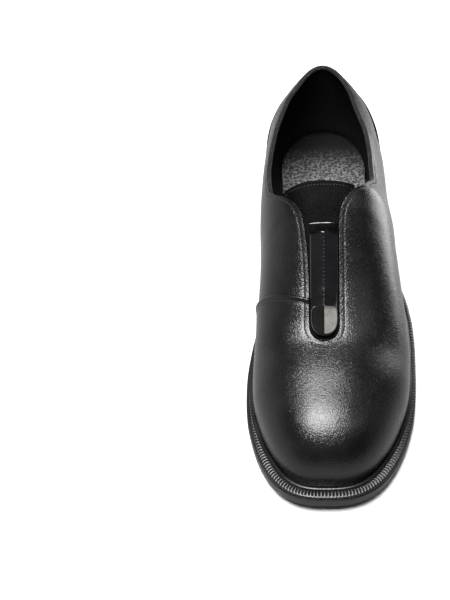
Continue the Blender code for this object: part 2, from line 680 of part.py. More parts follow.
def main():
    for made in list(bpy.data.objects):
        bpy.data.objects.remove(made)
    leather = paint("black grained leather", (0.018, 0.017, 0.018), 0.42)
    patent = paint("black patent leather", (0.012, 0.012, 0.014), 0.08, coat=1.0)
    rubber = paint("black moulded rubber", (0.022, 0.022, 0.023), 0.5)
    metal = paint("gunmetal", (0.20, 0.20, 0.21), 0.15, metallic=1.0)
    lining = paint("dark lining leather", (0.03, 0.028, 0.03), 0.45)
    build_outsole(rubber)
    build_welt(rubber.copy())
    build_insole(lining)
    build_upper(leather)
    build_heel_counter(patent)
    build_tongue(leather.copy())
    build_strap(patent.copy())
    build_strap_bar(metal)
    build_strap_tip(metal.copy())


main()
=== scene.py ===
# %% [markdown]
# # A slip-on shoe with a ribbed welt
#
# The real object is one left shoe: a lasted upper of fine-grained black leather, a patent
# overlay round the heel, a tongue under a narrow slot, a patent strap with a metal bar and a
# metal tip in that slot, and a moulded sole with a ribbed welt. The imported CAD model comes
# first, as a fixed frame. Every piece below is laid on the same shape functions as the CAD
# source uses, so it lands where its solid is and needs no fitting.

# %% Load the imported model
import math

import bmesh
import bpy
import numpy as np
from mathutils import Matrix, Vector, kdtree


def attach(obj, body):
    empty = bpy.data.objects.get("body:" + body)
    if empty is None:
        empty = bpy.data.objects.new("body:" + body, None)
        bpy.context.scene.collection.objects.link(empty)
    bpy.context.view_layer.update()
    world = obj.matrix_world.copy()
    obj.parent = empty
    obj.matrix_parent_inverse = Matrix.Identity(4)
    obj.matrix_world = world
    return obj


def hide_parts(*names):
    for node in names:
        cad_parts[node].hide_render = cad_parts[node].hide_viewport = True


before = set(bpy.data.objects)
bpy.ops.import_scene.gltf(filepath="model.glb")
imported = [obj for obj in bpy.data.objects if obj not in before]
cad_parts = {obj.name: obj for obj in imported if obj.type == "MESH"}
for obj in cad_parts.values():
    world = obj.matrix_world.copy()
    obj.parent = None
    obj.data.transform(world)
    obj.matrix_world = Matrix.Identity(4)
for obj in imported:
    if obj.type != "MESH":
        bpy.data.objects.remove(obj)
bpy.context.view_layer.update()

print("CAD nodes:", sorted(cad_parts))

# %% [markdown]
# ## The camera
#
# The photograph looks down on the toe from 50 degrees, and the shoe stands to the right of
# the picture's middle. A lens shift would do that too, but a shift stays on when somebody
# looks from another side. So the camera stands where the photographer stood and is turned a
# few degrees until the shoe's middle falls on its place in the picture.

# %% Camera
PICTURE = (450, 600)
LOOK_AT = Vector((-0.0038, 0.0, 0.045))
ELEVATION, AZIMUTH, ROLL = 50.0, -0.25, -0.26
DISTANCE = 0.85
FOCAL_PIXELS = 1474.0
LANDS_ON = (323.9, 272.3)


def studio_camera():
    e, a, roll = (math.radians(angle) for angle in (ELEVATION, AZIMUTH, ROLL))
    back = Vector((math.sin(a) * math.cos(e), -math.cos(a) * math.cos(e), math.sin(e)))
    right = (-back).cross(Vector((0, 0, 1))).normalized()
    up = right.cross(-back)
    right, up = (right * math.cos(roll) + up * math.sin(roll),
                 up * math.cos(roll) - right * math.sin(roll))
    basis = Matrix((right, up, back)).transposed()
    aim = Vector(((LANDS_ON[0] - PICTURE[0] / 2) / FOCAL_PIXELS,
                  (PICTURE[1] / 2 - LANDS_ON[1]) / FOCAL_PIXELS, -1))
    turn = aim.rotation_difference(Vector((0, 0, -1))).to_matrix()
    lens = bpy.data.cameras.new("camera")
    lens.sensor_fit = "HORIZONTAL"
    lens.sensor_width = 36.0
    lens.lens = FOCAL_PIXELS / PICTURE[0] * 36.0
    made = bpy.data.objects.new("camera", lens)
    made.matrix_world = Matrix.Translation(LOOK_AT + back * DISTANCE) @ (basis @ turn).to_4x4()
    bpy.context.scene.collection.objects.link(made)
    bpy.context.scene.camera = made
    return made


camera = studio_camera()
print("Camera at", [round(x, 3) for x in camera.location], "with a lens of", round(camera.data.lens, 1))

# %% [markdown]
# ## The last and its tables
#
# A shoemaker starts from a last. Here the last is a few tables of widths and heights along
# the shoe, read through a smooth curve, in shares of a few named sizes. They are the same
# numbers as in the CAD source. Only the grids laid on them are finer here.

# %% Sizes and tables
LENGTH, BALL_WIDTH = 0.265, 0.094
HEEL_HEIGHT, FOREFOOT_SOLE, ARCH_HEIGHT, TOE_SPRING = 0.0275, 0.0068, 0.0115, 0.0058
INSTEP_HEIGHT, COLLAR_HEIGHT, WALL, CLEARANCE = 0.095, 0.095, 0.0018, 0.0003
WELT_THICKNESS, WELT_LIP, WELT_LIP_WIDTH, WELT_FALL, WELT_STEP = 0.003, 0.0009, 0.0022, 0.0009, 0.0008
SOLE_EDGE, HEEL_TAPER, INSOLE_THICKNESS, INSOLE_EASE = 0.0014, 0.0022, 0.003, 0.0007
TOE_ROUND, TOE_POWER, TOE_BOX_ROUND, TOE_BOX_POWER = 0.090, 2.7, 0.040, 2.7
HEEL_ROUND, HEEL_POWER = 0.039, 2.05
HEEL_LEAN, HEEL_BULGE, HEEL_LEAN_REACH, SIDE_LEAN_POWER = 0.008, 0.0015, 0.080, 1.5
SLOT_END, SLOT_ROUND = 0.077, 0.0092
THROAT, INSTEP, HEIGHT_BLEND = 0.385 * LENGTH, 0.53 * LENGTH, 0.004
HEEL_LEAN_POWER, HEEL_REACH_POWER = 1.6, 1.5
SEAM_STATION, SEAM_RAKE, SEAM_REACH, SEAM_LIFT, SEAM_FADE = 0.100, 0.023, 0.062, 0.0009, 0.016
COUNTER_LENGTH, COUNTER_HEIGHT = 0.072, 0.080
TONGUE_START, TONGUE_END, TONGUE_WIDTH, TONGUE_FRONT_WIDTH = 0.069, 0.1545, 0.043, 0.030
TONGUE_SHIFT, TONGUE_THICKNESS = 0.003, 0.0016
STRAP_EASE, STRAP_THICKNESS, STRAP_PROUD = 0.0006, 0.0024, 0.0006
TIP_START, TIP_LENGTH, TIP_SHARE, TIP_HEIGHT = 0.0800, 0.0152, 0.9125, 0.0043
BAR_STATION, BAR_LENGTH, BAR_EASE, BAR_PROUD = 0.1285, 0.0048, 0.0003, 0.0014

SOLE_TABLE = np.array((
    # station, medial, lateral, rise, arch, spring, welt
    (0.000, 0.345, 0.345, 1.000, 0.00, 0.00, 0.050), (0.080, 0.345, 0.347, 0.970, 0.00, 0.00, 0.047),
    (0.150, 0.342, 0.350, 0.925, 0.00, 0.00, 0.045), (0.262, 0.327, 0.357, 0.810, 0.00, 0.00, 0.045),
    (0.283, 0.323, 0.360, 0.770, 0.28, 0.00, 0.045), (0.310, 0.318, 0.365, 0.715, 0.60, 0.00, 0.045),
    (0.347, 0.312, 0.385, 0.630, 0.87, 0.00, 0.047), (0.396, 0.312, 0.418, 0.505, 1.00, 0.00, 0.050),
    (0.445, 0.333, 0.475, 0.385, 0.90, 0.00, 0.056), (0.510, 0.378, 0.530, 0.240, 0.48, 0.00, 0.060),
    (0.566, 0.420, 0.552, 0.125, 0.13, 0.00, 0.060), (0.610, 0.447, 0.557, 0.055, 0.00, 0.00, 0.058),
    (0.690, 0.474, 0.553, 0.000, 0.00, 0.00, 0.056), (0.774, 0.480, 0.545, 0.000, 0.00, 0.02, 0.060),
    (0.849, 0.470, 0.528, 0.000, 0.00, 0.14, 0.072), (0.925, 0.461, 0.510, 0.000, 0.00, 0.47, 0.086),
    (1.000, 0.455, 0.498, 0.000, 0.00, 1.00, 0.080),
))
LAST_TABLE = np.array((
    # station, medial, lateral, belly height, crest, power
    (0.000, 0.358, 0.355, 0.200, 1.065, 2.00), (0.136, 0.353, 0.356, 0.230, 1.085, 2.10),
    (0.215, 0.372, 0.388, 0.250, 1.130, 2.20), (0.313, 0.388, 0.404, 0.270, 1.120, 2.30),
    (0.396, 0.394, 0.434, 0.250, 1.070, 2.40), (0.457, 0.390, 0.448, 0.220, 0.995, 2.30),
    (0.487, 0.392, 0.460, 0.205, 0.937, 2.20), (0.547, 0.402, 0.482, 0.175, 0.808, 2.10),
    (0.608, 0.415, 0.504, 0.150, 0.684, 2.05), (0.679, 0.428, 0.514, 0.125, 0.579, 2.10),
    (0.713, 0.432, 0.512, 0.115, 0.547, 2.15), (0.774, 0.432, 0.504, 0.105, 0.523, 2.20),
    (0.842, 0.420, 0.482, 0.095, 0.503, 2.20), (0.883, 0.416, 0.474, 0.090, 0.500, 2.20),
    (0.947, 0.405, 0.460, 0.085, 0.484, 2.20), (1.000, 0.395, 0.445, 0.080, 0.474, 2.20),
))
COLLAR_TABLE = np.array((
    # station, medial height, lateral height, medial gap, lateral gap, medial lean, lateral lean
    (0.000, 1.000, 1.000, 0.0000, 0.0000, 0.000, 0.000), (0.080, 0.980, 0.978, 0.0000, 0.0000, 0.014, 0.016),
    (0.135, 0.954, 0.948, 0.0500, 0.0500, 0.000, 0.034), (0.190, 0.920, 0.910, 0.1000, 0.1000, 0.006, 0.050),
    (0.283, 0.868, 0.852, 0.2000, 0.2000, 0.000, 0.052), (0.345, 0.858, 0.850, 0.2800, 0.2700, -0.004, 0.055),
    (0.370, 0.866, 0.890, 0.3200, 0.2950, -0.004, 0.050), (0.389, 0.884, 0.940, 0.3240, 0.2850, -0.002, 0.040),
    (0.415, 0.925, 0.990, 0.2850, 0.2300, 0.000, 0.012), (0.434, 0.980, 1.040, 0.2320, 0.1730, 0.000, 0.002),
    (0.457, 1.060, 1.100, 0.1700, 0.1220, 0.000, 0.000), (0.479, 1.200, 1.200, 0.1330, 0.0980, 0.000, 0.000),
    (0.509, 1.300, 1.300, 0.1130, 0.0915, 0.000, 0.000), (0.550, 1.300, 1.300, 0.0990, 0.0915, 0.000, 0.000),
    (0.605, 1.300, 1.300, 0.0915, 0.0915, 0.000, 0.000), (1.000, 1.300, 1.300, 0.0915, 0.0915, 0.000, 0.000),
))
COUNTER_TABLE = np.array((
    # station, top edge
    (0.00, 1.000), (0.12, 0.985), (0.25, 0.920), (0.42, 0.775), (0.57, 0.640), (0.78, 0.490),
    (1.00, 0.400),
))
print("Tables of", len(SOLE_TABLE), "sole and", len(LAST_TABLE), "last stations")

# %% Smooth curves through the tables


def curve(rows, column, station):
    """Smooth curve without overshoot through one column of a table."""
    x, y = rows[:, 0], rows[:, column]
    step = np.diff(x)
    slope = np.diff(y) / step
    tangent = np.zeros_like(y)
    tangent[0], tangent[-1] = slope[0], slope[-1]
    before, after = 2 * step[1:] + step[:-1], step[1:] + 2 * step[:-1]
    with np.errstate(divide="ignore", invalid="ignore"):
        mean = (before + after) / (before / slope[:-1] + after / slope[1:])
    tangent[1:-1] = np.where(slope[:-1] * slope[1:] > 0, mean, 0.0)
    at = np.clip(station, x[0], x[-1])
    i = np.clip(np.searchsorted(x, at, side="right") - 1, 0, len(step) - 1)
    t = (at - x[i]) / step[i]
    return (y[i] * (1 + 2 * t) * (1 - t) ** 2 + tangent[i] * step[i] * t * (1 - t) ** 2
            + y[i + 1] * t * t * (3 - 2 * t) + tangent[i + 1] * step[i] * t * t * (t - 1))


def smooth(t):
    t = np.clip(t, 0, 1)
    return t * t * (3 - 2 * t)


def hump(distance, width):
    """1 at a distance of 0, fading to nothing about two widths away."""
    return np.exp(-(distance / width) ** 2)


def closing(distance, reach, power):
    """1 away from an end, falling to 0 at the end like a superellipse."""
    t = np.clip(1 - np.asarray(distance) / reach, 0, 1)
    return (1 - t ** power) ** (1 / power)


ball_half = BALL_WIDTH * float(curve(SOLE_TABLE, 2, 0.7))
print("Half width of the sole at the ball:", round(1000 * ball_half, 1), "mm")

# %% Sole lines


def sole_top(s):
    return (FOREFOOT_SOLE + (HEEL_HEIGHT - FOREFOOT_SOLE) * curve(SOLE_TABLE, 3, s / LENGTH)
            + TOE_SPRING * curve(SOLE_TABLE, 5, s / LENGTH))


def sole_under(s):
    return ARCH_HEIGHT * curve(SOLE_TABLE, 4, s / LENGTH) + TOE_SPRING * curve(SOLE_TABLE, 5, s / LENGTH)


def outline(side, inset, count=400):
    """Half outline from heel to toe, moved in from the sole's edge by inset(s)."""
    s = LENGTH * (1 - np.cos(np.linspace(0, math.pi, count))) / 2
    half = BALL_WIDTH * curve(SOLE_TABLE, 2 if side > 0 else 1, s / LENGTH)
    half = half * closing(LENGTH - s, TOE_ROUND, TOE_POWER) * closing(s, HEEL_ROUND, HEEL_POWER)
    ds, dx = np.gradient(s), np.gradient(half)
    size, move = np.hypot(ds, dx), inset(s)
    s, half = s + dx / size * move, half - ds / size * move
    return s, np.maximum(half, 0)


def welt_inset(s):
    return BALL_WIDTH * curve(SOLE_TABLE, 6, s / LENGTH)


MIDDLE = (outline(1, np.zeros_like)[1].max() - outline(-1, np.zeros_like)[1].max()) / 2
FEATHER = {side: outline(side, welt_inset) for side in (-1, 1)}
HEEL_END, TOE_END = FEATHER[1][0][0], FEATHER[1][0][-1]
print("The upper meets the welt from", round(1000 * HEEL_END, 1), "to", round(1000 * TOE_END, 1), "mm")

# %% Surface of the upper


def laid(x, s, z):
    """Points at a side, a station from the heel and a height."""
    return np.stack([x, LENGTH / 2 - s, z], axis=-1)


def section(side, s):
    """Sizes of the upper's cross-section at s: one value for each station."""
    u = s / LENGTH
    order = np.argsort(FEATHER[side][0])
    foot = np.interp(s, FEATHER[side][0][order], FEATHER[side][1][order], left=0.0, right=0.0)
    bottom = sole_top(s) + WELT_THICKNESS + 2 * CLEARANCE
    ends = closing(TOE_END - s, TOE_ROUND, TOE_POWER) * closing(s - HEEL_END, HEEL_ROUND, HEEL_POWER)
    wide = BALL_WIDTH * curve(LAST_TABLE, 2 if side > 0 else 1, u) * ends
    box = closing(TOE_END - s, TOE_BOX_ROUND, TOE_BOX_POWER)
    crest = bottom + (INSTEP_HEIGHT * curve(LAST_TABLE, 4, u) - bottom) * box
    belly = BALL_WIDTH * curve(LAST_TABLE, 3, u) * box
    belly_z = bottom + np.minimum(belly, (crest - bottom) * 0.5)
    return foot, bottom, wide, belly_z, crest, curve(LAST_TABLE, 5, u)


def opening_half(side, s):
    """From the middle to the edge of the throat and the slot; 0 ahead of the slot."""
    gone = LENGTH - SLOT_END - s
    t = np.clip(gone / SLOT_ROUND, 0, 1)
    half = BALL_WIDTH * curve(COLLAR_TABLE, 4 if side > 0 else 3, s / LENGTH) * np.sqrt(1 - (1 - t) ** 2)
    return np.where(gone <= 0, 0.0, half)


def first_crossing(arc, value, limit):
    """Arc length at which value first passes limit; the whole arc where it doesn't."""
    past = value >= limit[:, None]
    i = np.where(past.any(axis=1), past.argmax(axis=1), value.shape[1] - 1)
    row, before = np.arange(len(i)), np.maximum(i - 1, 0)
    span = value[row, i] - value[row, before]
    t = np.clip((limit - value[row, before]) / np.where(span == 0, 1, span), 0, 1)
    return np.where(past.any(axis=1), arc[row, before] + (arc[row, i] - arc[row, before]) * t, arc[:, -1])


def surface(side, s, v, count=72):
    """Points of the upper's outer face, v from the feather line (0) to its edge (1)."""
    s, v = np.broadcast_arrays(np.asarray(s, float), np.asarray(v, float))
    shape = s.shape
    s, v = s.ravel(), v.ravel()
    foot, bottom, wide, belly_z, crest, power = (q[:, None] for q in section(side, s))
    a = np.linspace(0, 1, count // 3)[None, :-1]
    b = np.linspace(0, math.pi / 2, count)[None, :]
    x = np.concatenate([foot + (wide - foot) * np.sin(a * math.pi / 2),
                        wide * np.cos(b).clip(0) ** (2 / power)], axis=1)
    z = np.concatenate([bottom + (belly_z - bottom) * a,
                        belly_z + (crest - belly_z) * np.sin(b) ** (2 / power)], axis=1)
    arc = np.concatenate([np.zeros((len(s), 1)),
                          np.cumsum(np.hypot(np.diff(x), np.diff(z)), axis=1)], axis=1)
    gap = opening_half(side, s)
    rising = np.where(np.arange(x.shape[1])[None, :] < a.shape[1], -1.0, -x)
    inner = first_crossing(arc, rising, np.where(gap > 0, -gap, 1.0))
    height = COLLAR_HEIGHT * curve(COLLAR_TABLE, 2 if side > 0 else 1, s / LENGTH)
    collar = first_crossing(arc, z, height)
    h = np.clip(0.5 + 0.5 * (collar - inner) / HEIGHT_BLEND, 0, 1)
    joined = collar * (1 - h) + inner * h - HEIGHT_BLEND * h * (1 - h)
    end = np.where(gap > 0, joined, np.minimum(collar, arc[:, -1]))
    target = (v * end)[:, None]
    i = np.clip((arc < target).sum(axis=1), 1, arc.shape[1] - 1)
    row = np.arange(len(i))
    span = arc[row, i] - arc[row, i - 1]
    t = (target[:, 0] - arc[row, i - 1]) / np.where(span == 0, 1, span)
    px = x[row, i - 1] + (x[row, i] - x[row, i - 1]) * t
    pz = z[row, i - 1] + (z[row, i] - z[row, i - 1]) * t
    belly_z, bottom = belly_z[:, 0], bottom[:, 0]
    above = np.clip((pz - belly_z) / (COLLAR_HEIGHT - belly_z), 0, None)
    below = np.clip((pz - bottom) / (belly_z - bottom + 1e-9), 0, 1)
    near = np.clip(1 - s / HEEL_LEAN_REACH, 0, 1) ** HEEL_REACH_POWER
    bulge = HEEL_BULGE * np.sin(below * math.pi / 2) * (1 - above.clip(0, 1))
    lean = (HEEL_LEAN * above ** HEEL_LEAN_POWER - bulge) * near
    up_side = np.clip((pz - belly_z) / (height - belly_z), 0, 1.1)
    px = px - BALL_WIDTH * curve(COLLAR_TABLE, 6 if side > 0 else 5, s / LENGTH) * up_side ** SIDE_LEAN_POWER
    return np.stack([px * side, LENGTH / 2 - s - lean, pz], axis=-1).reshape(shape + (3,))


def at_height(side, s, z):
    """Points of the upper's outer face at station s and about the height z."""
    shares = np.linspace(0, 1, 61)
    face = surface(side, s[:, None] + 0 * shares, shares[None, :] + 0 * s[:, None])
    share = np.array([np.interp(want, row[:, 2], shares) for want, row in zip(z, face)])
    return surface(side, s, share)


def over_crest(x, s):
    """Points of the outer face over the instep, where the slot leaves it open."""
    points = np.empty(np.shape(x) + (3,))
    for side in (-1, 1):
        mine = x * side >= 0 if side > 0 else x * side > 0
        wide, belly_z, crest, power = section(side, s[mine])[2:]
        across = np.clip(x[mine] * side / wide, 0, 1)
        z = belly_z + (crest - belly_z) * (1 - across ** power) ** (1 / power)
        points[mine] = laid(x[mine], s[mine], z)
    return points


print("Crest over the throat:", np.round(1000 * over_crest(np.zeros(1), np.array([INSTEP]))[0], 1))

# %% [markdown]
# ## Sheets of leather
#
# Nearly all of a shoe is sheet material laid on a curved form. Blender's grid operator makes
# a flat sheet, and each of its points is then laid on the last. Points that fall together,
# at the toe and along the closing lines, are welded. A Solidify modifier gives the wall and
# a Bevel modifier rounds the cut edges. A height kept at each point swells the sheet into
# its relief.

# %% Sheet helper


class Sheet:
    """A grid of faces laid on points[column, row], with its doubled edges welded."""

    def __init__(self, points, **marks):
        columns, rows = points.shape[0] - 1, points.shape[1] - 1
        self.mesh = bmesh.new()
        bmesh.ops.create_grid(self.mesh, x_segments=columns, y_segments=rows, size=1.0)
        flat = np.array([vert.co[:2] for vert in self.mesh.verts])
        u = np.rint((flat[:, 0] + 1) / 2 * columns).astype(int)
        v = np.rint((flat[:, 1] + 1) / 2 * rows).astype(int)
        for vert, point in zip(self.mesh.verts, points[u, v]):
            vert.co = point
        for name, values in marks.items():
            layer = self.mesh.verts.layers.float.new(name)
            for vert, value in zip(self.mesh.verts, np.broadcast_to(values, points.shape[:2])[u, v]):
                vert[layer] = value
        bmesh.ops.remove_doubles(self.mesh, verts=self.mesh.verts, dist=0.000004)
        bmesh.ops.dissolve_degenerate(self.mesh, edges=self.mesh.edges, dist=0.000001)
        self.turn_outwards()

    def turn_outwards(self):
        """Face away from the middle, also where the sheet is open."""
        faces, verts = self.mesh.faces, self.mesh.verts
        bmesh.ops.recalc_face_normals(self.mesh, faces=faces)
        middle = sum((vert.co for vert in verts), Vector()) / len(verts)
        if sum((face.calc_center_median() - middle).dot(face.normal) * face.calc_area()
               for face in faces) < 0:
            bmesh.ops.reverse_faces(self.mesh, faces=faces)
        self.mesh.normal_update()

    def swell(self, distance):
        """Move every point along its normal, by a distance or by a mark's value."""
        layer = self.mesh.verts.layers.float.get(distance) if isinstance(distance, str) else None
        moves = [vert.normal * (vert[layer] if layer else distance) for vert in self.mesh.verts]
        for vert, move in zip(self.mesh.verts, moves):
            vert.co += move
        self.mesh.normal_update()
        return self


def run_along(points):
    """Distance from the start of a line to each of its points."""
    return np.concatenate([[0.0], np.cumsum(np.linalg.norm(np.diff(points, axis=0), axis=1))])


def read_line(at, run, points):
    """The line's points, or other columns, where the distance from its start is `at`."""
    return np.stack([np.interp(at, run, column) for column in points.T], axis=-1)


def unit(vectors):
    return vectors / np.linalg.norm(vectors, axis=-1, keepdims=True)


def distance_to(line, points):
    tree = kdtree.KDTree(len(line))
    for i, point in enumerate(line):
        tree.insert(point, i)
    tree.balance()
    return np.array([tree.find(point)[2] for point in points.reshape(-1, 3)]).reshape(points.shape[:-1])


def finish_piece(name, mesh, materials, thickness=0.0, offset=-1.0, bevel=0.0, inner=0, crease=50):
    """Turn a bmesh into a named piece that rides with the shoe; crease is in degrees."""
    bmesh.ops.translate(mesh, verts=mesh.verts, vec=(-MIDDLE, 0.0, 0.0))
    data = bpy.data.meshes.new(name)
    mesh.to_mesh(data)
    mesh.free()
    for material in materials:
        data.materials.append(material)
    data.shade_smooth()
    data.set_sharp_from_angle(angle=math.radians(crease))
    made = bpy.data.objects.new(name, data)
    bpy.context.scene.collection.objects.link(made)
    if thickness:
        wall = made.modifiers.new("Wall", "SOLIDIFY")
        wall.thickness, wall.offset, wall.material_offset = thickness, offset, inner
    if bevel:
        edges = made.modifiers.new("Edges", "BEVEL")
        edges.width, edges.segments = bevel, 3
        edges.limit_method, edges.angle_limit = "ANGLE", math.radians(50)
    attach(made, "root")
    print(name, len(data.polygons), "faces")
    return made


# %% [markdown]
# ## Materials
#
# Leather, patent leather, rubber and metal differ mostly in gloss and in the fine relief that
# breaks it. The relief comes from a few node groups: a pebbled grain of cells with soft
# valleys, a slow mottling of tone and gloss, and a fine grit. Each material places the groups
# it needs with its own scale, and keeps its Principled shader to itself.

# %% Node helpers


def node(tree, kind, links=None, **settings):
    """Add a shader node; links gives a value or another node's output for each input."""
    made = tree.nodes.new("ShaderNode" + kind)
    for key, value in settings.items():
        setattr(made, key, value)
    for key, value in (links or {}).items():
        if isinstance(value, bpy.types.NodeSocket):
            tree.links.new(value, made.inputs[key])
        else:
            made.inputs[key].default_value = value
    return made


def maths(tree, operation, *values):
    return node(tree, "Math", dict(enumerate(values)), operation=operation).outputs[0]


def times(tree, value, factor):
    return maths(tree, "MULTIPLY", value, factor)


def noise(tree, vector, scale, detail, roughness=0.5):
    links = {"Vector": vector, "Scale": scale, "Detail": detail, "Roughness": roughness}
    return node(tree, "TexNoise", links).outputs["Fac"]


def ranged(tree, value, low, high, to_low=0.0, to_high=1.0, kind="SMOOTHSTEP"):
    made = node(tree, "MapRange", {"Value": value, "From Min": low, "From Max": high, "To Min": to_low,
                                   "To Max": to_high}, interpolation_type=kind)
    return made.outputs["Result"]


def group(name, inputs, outputs):
    """A new node group with float or vector inputs, and its two end nodes."""
    tree = bpy.data.node_groups.new(name, "ShaderNodeTree")
    for label, value in inputs.items():
        kind = "NodeSocketVector" if value is None else "NodeSocketFloat"
        socket = tree.interface.new_socket(label, in_out="INPUT", socket_type=kind)
        if value is not None:
            socket.default_value = value
    for label in outputs:
        tree.interface.new_socket(label, in_out="OUTPUT", socket_type="NodeSocketFloat")
    return tree, tree.nodes.new("NodeGroupInput").outputs, tree.nodes.new("NodeGroupOutput").inputs


def place(tree, shared, **values):
    """Add a node group; its inputs exist once the group is set, and are filled after that."""
    return node(tree, "Group", values, node_tree=shared).outputs


# %% Shared effects


def pebble_grain():
    """Cells of leather grain: soft domes with rougher valleys between them."""
    tree, given, out = group("PebbleGrain", {"Vector": None, "Cells": 1300.0}, ["Height", "Valley"])
    warp = node(tree, "TexNoise", {"Vector": given["Vector"], "Scale": 420.0, "Detail": 2.0})
    offset = node(tree, "VectorMath", {0: warp.outputs["Color"], 1: (0.5, 0.5, 0.5)}, operation="SUBTRACT")
    scaled = node(tree, "VectorMath", {0: offset.outputs[0], "Scale": 0.0009}, operation="SCALE")
    moved = node(tree, "VectorMath", {0: given["Vector"], 1: scaled.outputs[0]}, operation="ADD")
    cells = node(tree, "TexVoronoi", {"Vector": moved.outputs[0], "Scale": given["Cells"]},
                 feature="DISTANCE_TO_EDGE")
    domes = ranged(tree, cells.outputs["Distance"], 0.0, 0.32)
    fine = noise(tree, moved.outputs[0], times(tree, given["Cells"], 0.55), 3.0, 0.6)
    height = maths(tree, "ADD", times(tree, domes, 0.8), times(tree, fine, 0.4))
    tree.links.new(height, out["Height"])
    tree.links.new(ranged(tree, cells.outputs["Distance"], 0.14, 0.0), out["Valley"])
    return tree


def mottling():
    """Slow change of tone and gloss over a hand's breadth."""
    tree, given, out = group("Mottling", {"Vector": None, "Scale": 60.0}, ["Mask", "Fine"])
    slow = noise(tree, given["Vector"], given["Scale"], 3.0, 0.55)
    quick = noise(tree, given["Vector"], times(tree, given["Scale"], 7.0), 3.0)
    tree.links.new(ranged(tree, slow, 0.35, 0.68), out["Mask"])
    tree.links.new(quick, out["Fine"])
    return tree


def grit():
    """Fine hard grain, as on moulded rubber, suede and sock cloth."""
    tree, given, out = group("Grit", {"Vector": None, "Scale": 2200.0}, ["Height", "Sparkle"])
    speck = noise(tree, given["Vector"], given["Scale"], 2.0, 0.7)
    half_scale = times(tree, given["Scale"], 0.5)
    coarse = node(tree, "TexVoronoi", {"Vector": given["Vector"], "Scale": half_scale})
    mixed = maths(tree, "ADD", speck, times(tree, coarse.outputs["Distance"], 0.7))
    tree.links.new(mixed, out["Height"])
    tree.links.new(ranged(tree, speck, 0.56, 0.72), out["Sparkle"])
    return tree


GRAIN, MOTTLE, GRIT = pebble_grain(), mottling(), grit()
print("Node groups:", [shared.name for shared in (GRAIN, MOTTLE, GRIT)])


def new_material(name, **constants):
    """A material with its Principled shader and the object's own coordinates."""
    material = bpy.data.materials.new(name)
    material.use_nodes = True
    tree = material.node_tree
    for key, value in constants.items():
        tree.nodes["Principled BSDF"].inputs[key.replace("_", " ")].default_value = value
    return material, tree, node(tree, "TexCoord").outputs["Object"]


def dress(material, colour, roughness, normal):
    """Lead the three changing values into the material's Principled shader."""
    tree = material.node_tree
    for name, value in (("Base Color", colour), ("Roughness", roughness), ("Normal", normal)):
        tree.links.new(value, tree.nodes["Principled BSDF"].inputs[name])
    return material


def tones(tree, factor, dark, light):
    mixed = node(tree, "Mix", {0: factor, 6: (*dark, 1.0), 7: (*light, 1.0)}, data_type="RGBA")
    return mixed.outputs[2]


def bump(tree, height, distance, **under):
    return node(tree, "Bump", {"Height": height, "Distance": distance, **under}).outputs["Normal"]


# %% Leather


def grained_leather(name, dark, light, cells, depth, gloss, specular):
    """Aniline leather: pebbles in low relief over a slow change of tone and gloss."""
    material, tree, where = new_material(name, IOR=1.5, Specular_IOR_Level=specular)
    grain = place(tree, GRAIN, Vector=where, Cells=cells)
    slow = place(tree, MOTTLE, Vector=where, Scale=55.0)
    smear = ranged(tree, slow["Mask"], 0.0, 1.0, gloss - 0.01, gloss + 0.015, "LINEAR")
    rough = maths(tree, "ADD", smear, times(tree, grain["Valley"], 0.08))
    broad = bump(tree, slow["Fine"], 0.00003)
    return dress(material, tones(tree, slow["Mask"], dark, light), rough,
                 bump(tree, grain["Height"], depth, Normal=broad))


LEATHER = grained_leather("black_grained_leather", (0.0022, 0.0022, 0.0024), (0.0045, 0.0045, 0.0048),
                          cells=850.0, depth=0.000062, gloss=0.235, specular=0.5)
TONGUE_LEATHER = grained_leather("black_tongue_leather", (0.0012, 0.0012, 0.0012), (0.0026, 0.0026, 0.0027),
                                 cells=620.0, depth=0.00016, gloss=0.48, specular=0.03)

# %% Patent, suede, sock, rubber, metal and thread


def patent_leather(name, colour):
    material, tree, where = new_material(name, Coat_Weight=1.0, Coat_Roughness=0.03, IOR=1.5)
    slow = place(tree, MOTTLE, Vector=where, Scale=45.0)
    return dress(material, tones(tree, slow["Mask"], colour, tuple(1.6 * c for c in colour)),
                 ranged(tree, slow["Fine"], 0.3, 0.7, 0.06, 0.14), bump(tree, slow["Fine"], 0.00006))


def suede(name, dark, light, sheen):
    material, tree, where = new_material(name, Sheen_Weight=sheen, Sheen_Roughness=0.5,
                                         Specular_IOR_Level=0.25)
    nap_and_sparkle = place(tree, GRIT, Vector=where, Scale=1500.0)
    slow = place(tree, MOTTLE, Vector=where, Scale=140.0)
    # Light specks in the colour: the nap's own tone, and on the binding also painted sheen.
    both = times(tree, nap_and_sparkle["Sparkle"], slow["Mask"])
    return dress(material, tones(tree, both, dark, light), ranged(tree, slow["Fine"], 0.3, 0.7, 0.7, 0.9),
                 bump(tree, nap_and_sparkle["Height"], 0.00030))


def sock_cloth(name):
    """Pebbled cloth with light specks, partly painted glints, and painted shade that darkens it towards the
    heel, deep in the shoe, where it also turns dull.
    """
    material, tree, where = new_material(name, IOR=1.5, Specular_IOR_Level=0.25)
    grains = place(tree, GRIT, Vector=where, Scale=1250.0)
    along = node(tree, "SeparateXYZ", {0: where}).outputs["Y"]
    front = ranged(tree, along, 0.116, 0.082)
    # Light specks in the colour: partly the cloth's own grain, partly painted glints.
    speck = ranged(tree, grains["Height"], 0.72, 1.05)
    cloth_tone_and_glints = tones(tree, speck, (0.018, 0.018, 0.019), (0.17, 0.17, 0.17))
    # Painted shade: towards the heel the cloth's colour fades to near black, where the collar shades the
    # inside of the shoe.
    painted_heel_shade = node(tree, "Mix", {0: front, 6: (0.003, 0.003, 0.003, 1.0), 7: cloth_tone_and_glints}, data_type="RGBA")
    return dress(material, painted_heel_shade.outputs[2], ranged(tree, front, 0.0, 1.0, 0.90, 0.33),
                 bump(tree, grains["Height"], 0.00065))


